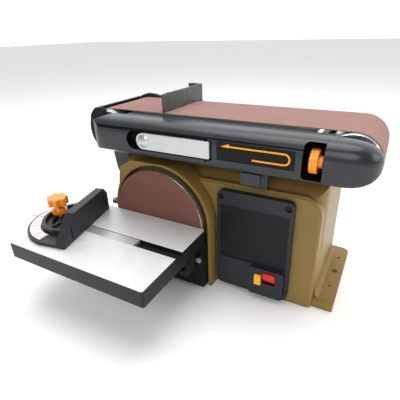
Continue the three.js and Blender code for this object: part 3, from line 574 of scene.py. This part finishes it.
def make_base():
    finish_piece(housing(), "housing_shell", "base", OLIVE, ["base_housing"], edge=1.1)
    guard = cut(box(-80.5, 80.5, -5, 24.4, -100, -24), box(-78, 78, -2.5, 30, -97.5, -20))
    ribs = [box(x - 0.8, x + 0.8, -5.8, -4.9, -92, -34) for x in range(-40, 41, 20)]
    finish_piece(join(guard, *ribs), "disc_guard_shell", "base", BLACK, ["lower_disc_guard"],
                 edge=0.8)
    radius = 32
    inner = radius - COVER_WALL
    cover = cut(prism(wrap(DRUM_X, DRUM_Z, radius, 0, 0, radius), "Y", 204.3, 234),
                prism(wrap(DRUM_X, DRUM_Z, inner, 0, 0, inner), "Y", 203, 231.5),
                rod("Y", DRUM_X, DRUM_Z, 225, 240, 2.4, 24), rod("Y", 0, 0, 225, 240, 2.4, 24))
    finish_piece(cover, "pulley_cover_shell", "base", LIGHT_GREY, ["pulley_cover"],
                 edge=2.0, segments=4)


# ------------------------------------------------------------------ switch panel
def make_panel():
    left, right, bottom, top = PANEL_LOW.x, PANEL_HIGH.x, PANEL_LOW.z, PANEL_HIGH.z
    front, back = PANEL_LOW.y, PANEL_HIGH.y
    plate = prism(rounded(left, bottom, right, top, 8, 10), "Y", front, back)
    inset = prism(rounded(left + 5.5, -48, right - 5, 38, 2), "Y", front - 1, front + 1.6)
    holes = []
    for x in PANEL_SCREWS:
        holes += [rod("Y", x, 50, 10, 40, 2.4, 24), rod("Y", x, 50, 10, front + 4.4, 4.6, 32)]
    plate = cut(plate, inset, box(149, 193, 0, 40, -92, -54), *holes)
    finish_piece(plate, "panel_plate", "base", PANEL, ["switch_panel"], edge=1.4, segments=4)
    lining = prism(rounded(left + 5.9, -47.6, right - 5.4, 37.6, 1.7), "Y", front + 1.25, front + 1.7)
    finish_piece(lining, "panel_inset", "base", PANEL_INSET)
    make_switch()


def make_switch():
    """The bezel below the panel's recess, with the red rocker and the yellow key in it."""
    bezel = join(prism(rounded(145.5, -96, 196.5, -50, 5), "Y", 13, 18.2), box(150, 192, 17, 58, -91, -55))
    bezel = cut(bezel, box(166.6, 185.4, 0, 28, -73.4, -52.6), box(154.8, 165.2, 0, 24, -77.4, -59.6))
    finish_piece(bezel, "bezel_frame", "base", PANEL, ["switch_bezel"], edge=0.9)
    rocker = prism([(16, -71.5), (24, -71.5), (24, -54.5), (10.5, -54.8), (11.5, -62)], "X", 167, 185)
    finish_piece(rocker, "rocker_cap", "rocker_unit", RED, ["switch_rocker"], edge=0.8)
    key = prism(rounded(9, -77, 23, -60, [3, 0, 0, 3]), "X", 155.2, 164.8)
    finish_piece(key, "key_cap", "key_unit", YELLOW, ["switch_key"], edge=0.8)


# ------------------------------------------------------------------ disc
def make_disc():
    rim = 0.25
    section = [(0, 0), (DISC_RADIUS - rim, 0), (DISC_RADIUS, rim), (DISC_RADIUS, 1), (0, 1)]
    paper = lathe(section, "Y", sides=192)
    finish_piece(paper, "grit_disc", "rotor", DISC_GRIT, ["abrasive_disc"])
    bore, front, back, hub_back = 8.3, 1.3, 9.3, 22
    plate = lathe([(bore, back), (bore, hub_back), (13, hub_back), (13, back), (75, back), (76.2, back - 0.9),
                   (76.2, 1.6), (75.9, front), (bore, front)], "Y", sides=192)
    finish_piece(plate, "disc_backing", "rotor", BRIGHT, ["disc_plate"])


# ------------------------------------------------------------------ belt and drums
def loop_band(inner, outer, low, high, steps=56):
    bm = bmesh.new()
    rings = []
    for radius in (outer, inner):
        outline = wrap(DRUM_X, DRUM_Z, radius, IDLER_X, DRUM_Z, radius, steps)
        for y in (low, high):
            rings.append([bm.verts.new((u, y, v)) for u, v in outline])
    count = len(rings[0])
    for a, b in ((0, 1), (1, 3), (3, 2), (2, 0)):
        for i in range(count):
            j = (i + 1) % count
            bm.faces.new((rings[a][i], rings[a][j], rings[b][j], rings[b][i]))
    return to_object(bm)


def make_belt():
    """The grit belt; the faces of its inner side get the cloth backing."""
    thickness = 1
    band = loop_band(BELT_OUTER - thickness, BELT_OUTER, BELT_LOW.y, BELT_HIGH.y)
    piece = finish_piece(band, "grit_belt", "belt_arm", BELT_GRIT, ["sanding_belt"])
    piece.data.materials.append(BELT_CLOTH)
    for polygon in piece.data.polygons:
        centre = (polygon.center - ORIGIN) / MM
        nearest = min(max(centre.x, DRUM_X), IDLER_X)
        radius = hypot(centre.x - nearest, centre.z - DRUM_Z)
        if radius < BELT_OUTER - 0.3 * thickness:
            polygon.material_index = 1


def drum(x, bore):
    """A turned drum with a recess in each end, which leaves a rim and a hub round the bore."""
    r = DRUM_RADIUS
    hub = bore + 4
    low, high = DRUM_LOW.y, DRUM_HIGH.y
    profile = [(bore, low + 2), (hub, low + 2), (hub, low + 8), (27, low + 8), (28, low + 7),
               (28.4, low + 0.6), (29, low), (r - 0.8, low), (r, low + 0.8), (r, high - 0.8),
               (r - 0.8, high), (28.6, high), (28, high - 1), (28, high - 8), (hub, high - 8),
               (hub, high - 2), (bore, high - 2)]
    return lathe(profile, "Y", x, DRUM_Z, 128)


def make_drums():
    finish_piece(drum(DRUM_X, 8.3), "drive_drum_turned", "drive_drum_unit", BRIGHT,
                 ["drive_drum"])
    finish_piece(drum(IDLER_X, 13.3), "idler_drum_turned", "idler_unit", BRIGHT, ["idler_drum"])


# ------------------------------------------------------------------ belt arm
def cover_section(margin, back):
    """The cover's section across the arm, shared by the long cover and the dome at its end."""
    front, top, bottom = COVER_LOW.y + margin, COVER_HIGH.z - margin, COVER_LOW.z + margin
    return ([(back, bottom), (back, top), (10, top)] + bend((9, top), (front + 1, top), (front, 130), 16)
            + bend((front, bottom + 6), (front, bottom), (front + 6, bottom), 8))


def cover_body(margin, back):
    """The cover's outer form, or the same form set in by a margin: section, plan and face together."""
    left, front = COVER_LOW.x + margin, COVER_LOW.y + margin
    turn_x, turn_y = -72, 22
    plan = ([(left, 60), (left, turn_y)] + oval(turn_x, turn_y, turn_x - left, turn_y - front, 180, 270, 32)
            + [(SEAM, front), (SEAM, 60)])
    top, bottom, middle = COVER_HIGH.z - margin, COVER_LOW.z + margin, 123
    above, below = 38, 28
    face = ([(SEAM + 1, bottom), (SEAM + 1, top)]
            + oval(COVER_LOW.x + above, middle, above - margin, top - middle, 90, 180, 32)
            + oval(COVER_LOW.x + below, middle, below - margin, middle - bottom, 180, 270, 32)[1:])
    return common(prism(cover_section(margin, back), "X", COVER_LOW.x, SEAM),
                  prism(plan, "Z", 90, 170), prism(face, "Y", -40, 80))


def cover_openings():
    """What is cut from the cover: slots on the front, grooves on the ledge, clearance at the back."""
    lever_slot = prism(rounded(-30, 112, 102, 137.8, [12.8, 3, 3, 12.8], 16), "Y", -30, -5)
    knob_slot = prism(rounded(211, 107, SEAM + 10, 148, [5, 0, 0, 5]), "Y", -30, 14)
    label_slot = prism(rounded(108.5, 115, 204, 138.6, 1.5), "Y", -30, COVER_LOW.y + 0.8)
    under_ledge = box(-200, 300, 27.5, 60, 90, 147)
    top = COVER_HIGH.z
    grooves = [box(-52, 238, y0, y1, top - 0.9, top + 5) for y0, y1 in ((19.5, 21), (24.5, 26))]
    drum_well = rod("Y", DRUM_X, DRUM_Z, 25.5, 60, 35, 96)
    pin_hole = rod("Z", LEVER_PIN.x, LEVER_PIN.y, 109.8, 140.2, PIN_HOLE, 24)
    gaps = [box(-140, -54, 19, 60, 128, 160), box(-140, -75, 25.5, 60, 90, 160),
            box(212, 300, 27.2, 60, 90, 160)]
    return [lever_slot, knob_slot, label_slot, under_ledge, *grooves, drum_well, pin_hole, *gaps]


def make_cover():
    ledge = box(SEAM - 1, COVER_HIGH.x, 10, 27.2, COVER_HIGH.z - 4, COVER_HIGH.z)
    outside = join(cover_body(0, COVER_HIGH.y), ledge)
    tubs = common(cover_body(0.01, COVER_HIGH.y - 0.01),
                  join(box(-34, 105, -30, -2.5, 109, 141), box(208.5, SEAM, -30, 16.5, 90, 160)))
    shell = join(cut(outside, cover_body(COVER_WALL, 60)), tubs)
    shell = cut(shell, *cover_openings())
    piece = finish_piece(shell, "cover_shell", "belt_arm", CHARCOAL, ["front_cover"],
                         edge=0.8)
    # Painted shade: the recesses behind the lever and knob slots and the cover's back get the near-black
    # material
    lever_room = ((-33, -13.2, 109), (105, 10, 141))
    knob_room = ((209, -13, 104), (SEAM + 1, 20, 149))
    behind = ((-140, 18.5, 90), (COVER_HIGH.x, 60, 149.4))
    paint_shade_inside(piece, PAINTED_SHADE, [lever_room, knob_room, behind])


def paint_shade_inside(piece, material, rooms):
    """Gives the faces whose middles lie in any of the rooms the near-black material: painted shade in the
    hollows.
    """
    piece.data.materials.append(material)
    for polygon in piece.data.polygons:
        centre = (polygon.center - ORIGIN) / MM
        for low, high in rooms:
            if all(low[i] < centre[i] < high[i] for i in range(3)):
                polygon.material_index = 1


def dome_cap(margin, back):
    """The bullet-shaped end: each slice towards the right is a smaller rounded arch."""
    bm = bmesh.new()
    left, right = DOME_LOW.x + margin, DOME_HIGH.x - margin
    base = cover_section(margin, back)
    middle = (COVER_LOW.z + COVER_HIGH.z) / 2
    straight = 248
    slices = 22
    stations = [left, straight]
    stations += [straight + (right - straight) * sin(radians(90 * i / slices)) for i in range(1, slices)]
    rings = []
    for x in stations:
        reach = 0 if x <= straight else (x - straight) / (right - straight)
        shrink = max(0.0, 1 - reach ** 2.7) ** (1 / 2.3)
        rings.append([bm.verts.new((x, back + (u - back) * shrink, middle + (v - middle) * shrink))
                      for u, v in base])
    tip = bm.verts.new((right, back, middle))
    bm.faces.new(rings[0])
    count = len(base)
    for lower, upper in zip(rings, rings[1:]):
        for i in range(count):
            j = (i + 1) % count
            bm.faces.new((lower[i], lower[j], upper[j], upper[i]))
    for i in range(count):
        bm.faces.new((rings[-1][i], rings[-1][(i + 1) % count], tip))
    bmesh.ops.remove_doubles(bm, verts=bm.verts, dist=1e-3)
    return to_object(bm)


def make_dome():
    axle_hole = rod("X", KNOB.y, KNOB.z, 230, 240, 3.5, 24)
    ledge_gap = box(230, COVER_HIGH.x + GAP, 9.7, 30, COVER_HIGH.z - 4.3, 160)
    shell = cut(dome_cap(0, DOME_HIGH.y), dome_cap(COVER_WALL, DOME_HIGH.y + 4), axle_hole, ledge_gap)
    piece = finish_piece(shell, "dome_shell", "belt_arm", DOME_GLOSS, ["end_dome"], edge=0.7)
    # Painted shade: the faces of the dome's hollow get the near-black material
    piece.data.materials.append(PAINTED_SHADE)
    for polygon in piece.data.polygons:
        if facing_in(polygon):
            polygon.material_index = 1


def facing_in(polygon):
    """True for the faces of the dome's hollow, which look towards its middle."""
    centre = (polygon.center - ORIGIN) / MM
    middle = Vector((250, DOME_HIGH.y + 6, 127))
    return polygon.normal.dot(middle - centre) > 0 and centre.x > DOME_LOW.x + 0.3


def make_hood():
    """The black hood round the left end of the drum: a curved shell and its front wall."""
    outer = arc(DRUM_X, DRUM_Z, 39.3, 215, 158, 24) + arc(DRUM_X, DRUM_Z, 41.2, 149, 125, 3)
    inner = arc(DRUM_X, DRUM_Z, 38.6, 123, 149, 3) + arc(DRUM_X, DRUM_Z, 36.7, 158, 215, 24)
    upper_edge = arc(DRUM_X, DRUM_Z, 36.5, 108, 108, 1)[:1] + arc(DRUM_X, DRUM_Z, 34.8, 97, 97, 1)[:1]
    wall = outer + upper_edge + arc(DRUM_X, DRUM_Z, 22, 97, 215, 30)
    front, back = 25.8, 137.7
    hood = join(prism(outer + inner, "Y", front, back), prism(wall, "Y", front, 27.7))
    finish_piece(hood, "hood_shell", "belt_arm", BLACK, ["drum_hood"], edge=0.7)


def make_lever():
    half, middle = 11.05, 125.35
    outline = rounded(-12, middle - half, 99, middle + half, [half - 0.1, 2, 2, half - 0.1], 16)
    lever = cut(prism(outline, "Y", -15.5, -9.5), rod("Z", LEVER_PIN.x, LEVER_PIN.y, 100, 150, PIN_HOLE, 24))
    finish_piece(lever, "lever_plate", "tension_lever_unit", LEVER_STEEL, ["tension_lever"],
                 edge=1.6, segments=5)
    dome = [(0, -18.2), (3, -18.1), (6, -17.4), (8.2, -16.4), (9.2, -15.3), (9.2, -14.6), (0, -14.6)]
    button = lathe(dome, "Y", -0.5, middle, 64)
    finish_piece(button, "lever_button", "tension_lever_unit", LEVER_STEEL)


def make_arm_trim():
    make_hood()
    film = prism(rounded(109, 115.5, 203.5, 138.1, 1.2), "Y", -14, -13.5)
    finish_piece(film, "label_plate", "belt_arm", LABEL, ["direction_label"], edge=0.12)
    make_arrow()
    make_lever()
    blade = join(box(0, 2.5, 34, 149, 154, 179), box(-22, 2.5, 146.5, 149, 108, 179))
    blade = cut(blade, prism(rounded(-13.4, 113.6, -6.6, 128.4, 3.3), "Y", 140, 160))
    finish_piece(blade, "stop_plate", "belt_stop_unit", SHEET, ["belt_stop"], edge=0.5)
    plate = prism(rounded(-56, 149, 216, 152.2, [0, 0, 3, 3]), "Y", 36, 134)
    finish_piece(plate, "platen_plate", "belt_arm", STEEL, ["platen"], edge=0.4)


def make_arrow():
    """The U-turn arrow on the label: a long upper line with its head, a bend, and a short lower line."""
    half = 1.0
    top, bottom = 133.2, 120.6
    bend_x, radius = 191.5, (top - bottom) / 2
    middle = (top + bottom) / 2
    lower_end, head_back = 154, 124
    outer = ([(bend_x, top + half)] + arc(bend_x, middle, radius + half, 90, -90, 24)
             + [(lower_end, bottom - half)])
    inner = ([(lower_end, bottom + half)] + arc(bend_x, middle, radius - half, -90, 90, 24)
             + [(head_back, top - half)])
    head = [(head_back, top - half - 0.4), (114, top - 0.6), (124.5, top + half + 2.2), (126, top + half)]
    mark = prism(outer + inner + head, "Y", -14.12, -13.95)
    finish_piece(mark, "label_arrow", "belt_arm", LABEL_INK)


def make_knobs():
    wheel = moved(prism(lobed(13.8, 0.9, 14, 256), "X", 218, 227), 0, KNOB.y, KNOB.z)
    hub = rod("X", KNOB.y, KNOB.z, 226, 231.5, 7, 64)
    finish_piece(join(wheel, hub), "tracking_wheel", "tracking_unit", ORANGE,
                 ["tracking_knob"], edge=0.6)
    lock_knob("lock_right_unit", "table_lock_knob_right", (67.7, 78.5), (52, 69))
    lock_knob("lock_left_unit", "table_lock_knob_left", (-78.5, -67.7), (-69, -52))


def lock_knob(body, node, star_span, stud_span):
    """A six-lobed knob on its stud, beside the table."""
    low, high = local(node)
    y, z = (low.y + high.y) / 2, (low.z + high.z) / 2
    star = moved(prism(lobed(13, 3, 6), "X", *star_span), 0, y, z)
    stud = rod("X", y, z, *stud_span, 3, 32)
    finish_piece(join(star, stud), node + "_star", body, BLACK, [node], edge=1.4, segments=4)


# ------------------------------------------------------------------ disc table
def table_lug(x0, x1):
    """A quadrant plate under the table with its pivot hole and the curved slot for the lock stud."""
    y, z = -25, -14
    outline = [(-14, -3), (-64, -3)] + arc(y, z, 38, 198, 252, 20) + [(-14, -22)]
    return cut(prism(outline, "X", x0, x1), prism(sector(y, z, 26.5, 33.5, 188, 247), "X", x0 - 1, x1 + 1),
               rod("X", y, z, x0 - 1, x1 + 1, 4.3, 32))


def make_table():
    left, right, front, back = TABLE_LOW.x, TABLE_HIGH.x, TABLE_LOW.y, TABLE_HIGH.y
    top = TABLE_HIGH.z
    apron, wall = 23, 4
    slot_y = MITRE.y
    outer = prism(rounded(left, front, right, back, 3), "Z", top - apron, top)
    under = box(left + wall, right - wall, front + wall, back - wall, top - 30, top - 6)
    rib = box(left + 2, right - 2, slot_y - 11, slot_y + 11, -8.5, top - 1)
    groove = box(left - 1, right + 1, slot_y - 8, slot_y + 8, top - 6.2, top + 1)
    solid = cut(join(cut(outer, under), rib, table_lug(57, 62), table_lug(-62, -57)), groove)
    piece = finish_piece(solid, "table_casting", "table_unit", BLACK_PAINT, ["disc_table"],
                         edge=0.7)
    piece.data.materials.append(TABLE_FACE)
    for polygon in piece.data.polygons:
        height = (polygon.center.z - ORIGIN.z) / MM
        if polygon.normal.z > 0.5 and height > top - 0.8:
            polygon.material_index = 1


# ------------------------------------------------------------------ mitre gauge
def swung(obj):
    """Turns a piece drawn square round the mitre pivot to where the head stands at rest."""
    return moved(obj, MITRE.x, MITRE.y, 0, MITRE_TURN)


def mitre_head():
    """The half-round foot, upright fence, hub and webs, with the curved slot for the lock stud."""
    base, stud_radius, swing = TABLE_HIGH.z + 0.4, 26, 58
    foot = [(16.6, 57)] + arc(0, 0, 63, 100, 260, 64) + [(16.6, -64.2)]
    fence = [(-64.2, base), (57, base), (57, 30.5), (49, 40.5), (-32.7, 40.5), (-64.2, 9)]
    ring = cut(rod("Z", 0, 0, 7, 16, 42, 96), rod("Z", 0, 0, 11, 20, 37.5, 96))
    hub = common(ring, box(-60, 15.6, -60, 60, 0, 30))
    slot = prism(sector(0, 0, stud_radius - 3.6, stud_radius + 3.6, 180 - swing, 180 + swing), "Z", 0, 30)
    slits = [box(24.6, 50, y - 1, y + 1, low, high) for y, low, high in ((-44, 9, 24), (44, 12, 28))]
    webs = [moved(box(18, 38, -1.5, 1.5, 8, 14), 0, 0, 0, radians(a)) for a in (116, 244)]
    pivot_boss = rod("Z", 0, 0, 7, 15, 10)
    head = join(prism(foot, "Z", base, 8), prism(fence, "X", 14.6, 27.6), hub, pivot_boss, *webs)
    return swung(cut(head, slot, rod("Z", 0, 0, 0, 30, 4.3, 32), *slits))


def make_scale():
    """The pale ring round the head with a red mark every five degrees, longer every fifteen."""
    ring = swung(prism(sector(0, 0, 45.5, 59.5, 104, 256, 72), "Z", 8.3, 8.9))
    finish_piece(ring, "scale_ring", "mitre_head_unit", PALE_INK, ["mitre_scale"])
    outer = 58.5
    marks = []
    for i in range(-15, 16):
        inner, half = (47, 0.75) if i % 3 == 0 else (53.5, 0.35)
        tick = prism([(-inner, -half), (-outer, -half), (-outer, half), (-inner, half)], "Z", 8.85, 9.0)
        marks.append(moved(tick, 0, 0, 0, radians(i * 5)))
    finish_piece(swung(join(marks[0], *marks[1:])), "scale_marks", "mitre_head_unit", RED_INK)


def make_mitre():
    top = TABLE_HIGH.z
    finish_piece(mitre_head(), "mitre_casting", "mitre_head_unit", CASTING, ["mitre_head"],
                 edge=1.0)
    make_scale()
    bar = box(-188, 16, MITRE.y - 7.7, MITRE.y + 7.7, -3.25, top - 0.5)
    finish_piece(bar, "mitre_bar_ground", "mitre_bar_unit", BAR_STEEL, ["mitre_bar"], edge=0.6)
    x = MITRE.x - 26
    star = moved(prism(lobed(15, 3.2, 7), "Z", 30, 41.5), x, MITRE.y)
    flare = [(0, 17), (11.5, 17), (11.5, 21), (9, 21.6), (6.4, 25), (5.6, 30.5), (0, 30.5)]
    neck = lathe(flare, "Z", x, MITRE.y, 64)
    stud = rod("Z", x, MITRE.y, top - 0.2, 18, 3, 32)
    finish_piece(join(star, neck, stud), "mitre_star", "mitre_knob_unit", ORANGE,
                 ["mitre_knob"], edge=1.5, segments=4)


# ------------------------------------------------------------------ CAD nodes that keep their shape
KEPT = {
    "motor_housing": (CASTING, 1.0), "drive_bearing_housing": (CASTING, 0.8),
    "cover_screw_top": (STEEL, 0.4), "cover_screw_bottom": (STEEL, 0.4), "drive_belt": (RUBBER, 0.3),
    "panel_screw_left": (BLACK, 0.3), "panel_screw_right": (BLACK, 0.3), "guard_screw": (STEEL, 0.5),
    "shroud_bolt": (STEEL, 0.4), "table_bracket_left": (CASTING, 0.6), "table_bracket_right": (CASTING, 0.6),
    "table_pivot_pin_left": (STEEL, 0.4), "table_pivot_pin_right": (STEEL, 0.4), "arm_rest": (CHARCOAL, 0.7),
    "rest_pad": (RUBBER, 0.6), "dust_chute": (CHARCOAL, 0.8), "cord_gland": (RUBBER, 0.6),
    "motor_shaft": (STEEL, 0.5), "motor_pulley": (STEEL, 0.3), "motor_fan": (BLACK, 0.4),
    "drum_shaft": (STEEL, 0.5), "drum_pulley": (STEEL, 0.3), "arm_frame": (CASTING, 0.7),
    # The steel lever pin gets the near-black painted shade so it reads as shadow in the lever's slot
    "lever_pin": (PAINTED_SHADE, 0.2), "stop_bolt": (STEEL, 0.4), "idler_carriage": (CASTING, 0.6),
    "idler_axle": (STEEL, 0.4), "tension_spring": (STEEL, 0.0), "idler_bearing_front": (STEEL, 0.3),
    "idler_bearing_rear": (STEEL, 0.3), "tracking_screw": (STEEL, 0.3), "mitre_pivot_pin": (STEEL, 0.4),
}


def dress_kept_nodes():
    """Gives each kept node its material and a small bevel of the width that stands beside it."""
    for node, (material, edge) in KEPT.items():
        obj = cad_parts[node]
        obj.data.materials.clear()
        obj.data.materials.append(material)
        if edge:
            modifier = obj.modifiers.new("edge", "BEVEL")
            modifier.width = edge * MM
            modifier.segments = 2
            modifier.limit_method = "ANGLE"
            modifier.angle_limit = radians(35)


# ------------------------------------------------------------------ stage, light and camera
def make_stage():
    half, z = 12.0, -0.0004
    bm = bmesh.new()
    corners = ((-half, -half), (half, -half), (half, half), (-half, half))
    bm.faces.new([bm.verts.new((x, y, z)) for x, y in corners])
    floor = to_object(bm, "floor")
    s = Surface("pale_floor", 0.9)
    s.colour(s.ramp(s.noise(3, 2), (0.3, (0.965, 0.965, 0.965)), (0.7, (0.98, 0.98, 0.98))))
    floor.data.materials.append(s.material)


def area_light(name, position, target, size, energy):
    data = bpy.data.lights.new(name, "AREA")
    data.shape = "DISK"
    data.size = size
    data.energy = energy
    light = bpy.data.objects.new(name, data)
    bpy.context.scene.collection.objects.link(light)
    light.location = position
    light.rotation_euler = (Vector(target) - Vector(position)).to_track_quat("-Z", "Y").to_euler()


WORLD_FRONT = 0.16                           # brightness of the surroundings in front of the part
WORLD_BRIGHT_FROM = 0.25                     # direction (0 across, 1 straight back) from which they are white
WORLD_STRENGTH = 1.45


def make_light():
    """A pale studio: white behind and at the back of the sides, dim in front, with three soft lamps."""
    world = bpy.data.worlds.new("studio")
    bpy.context.scene.world = world
    world.use_nodes = True
    nodes, links = world.node_tree.nodes, world.node_tree.links
    where = nodes.new("ShaderNodeTexCoord")
    split = nodes.new("ShaderNodeSeparateXYZ")
    ramp = nodes.new("ShaderNodeValToRGB")
    dark, bright = ramp.color_ramp.elements
    dark.position, dark.color = 0.0, (WORLD_FRONT, WORLD_FRONT, WORLD_FRONT, 1)
    bright.position, bright.color = WORLD_BRIGHT_FROM, (1, 1, 1, 1)
    links.new(where.outputs["Generated"], split.inputs[0])
    links.new(split.outputs["Y"], ramp.inputs["Fac"])
    links.new(ramp.outputs["Color"], nodes["Background"].inputs["Color"])
    nodes["Background"].inputs["Strength"].default_value = WORLD_STRENGTH
    middle = (0, 0, 0.12)
    area_light("top", (-0.1, 0.1, 1.8), middle, 1.6, 24)
    area_light("right", (1.5, 0.1, 0.8), middle, 0.9, 7)
    area_light("front", (0.3, -1.6, 1.2), middle, 1.2, 14)
    bpy.context.scene.view_settings.view_transform = "Standard"


CAMERA_PLACE = Vector((287.94, -375.03, 258.70))
CAMERA_TURN = (28.97, 25.65, -1.58)          # degrees to the left, down, and rolled
LENS = 31.34


def make_camera():
    """The camera stands in front and to the right, looking down to the left."""
    yaw, pitch, roll = (radians(angle) for angle in CAMERA_TURN)
    forward = Vector((-sin(yaw) * cos(pitch), cos(yaw) * cos(pitch), -sin(pitch)))
    across = Vector((cos(yaw), sin(yaw), 0))
    upward = across.cross(forward)
    right = across * cos(roll) + upward * sin(roll)
    up = upward * cos(roll) - across * sin(roll)
    data = bpy.data.cameras.new("camera")
    data.sensor_width = 36
    data.lens = LENS
    data.shift_x = -0.007
    data.shift_y = -0.008
    data.clip_start = 0.01
    camera = bpy.data.objects.new("camera", data)
    bpy.context.scene.collection.objects.link(camera)
    camera.matrix_world = Matrix((
        (right.x, up.x, -forward.x, 0),
        (right.y, up.y, -forward.y, 0),
        (right.z, up.z, -forward.z, 0),
        (0, 0, 0, 1)))
    camera.location = ORIGIN + CAMERA_PLACE * MM
    bpy.context.scene.camera = camera


make_camera()
make_stage()
make_light()
make_base()
make_panel()
make_disc()
make_belt()
make_drums()
make_cover()
make_dome()
make_arm_trim()
make_knobs()
make_table()
make_mitre()
dress_kept_nodes()
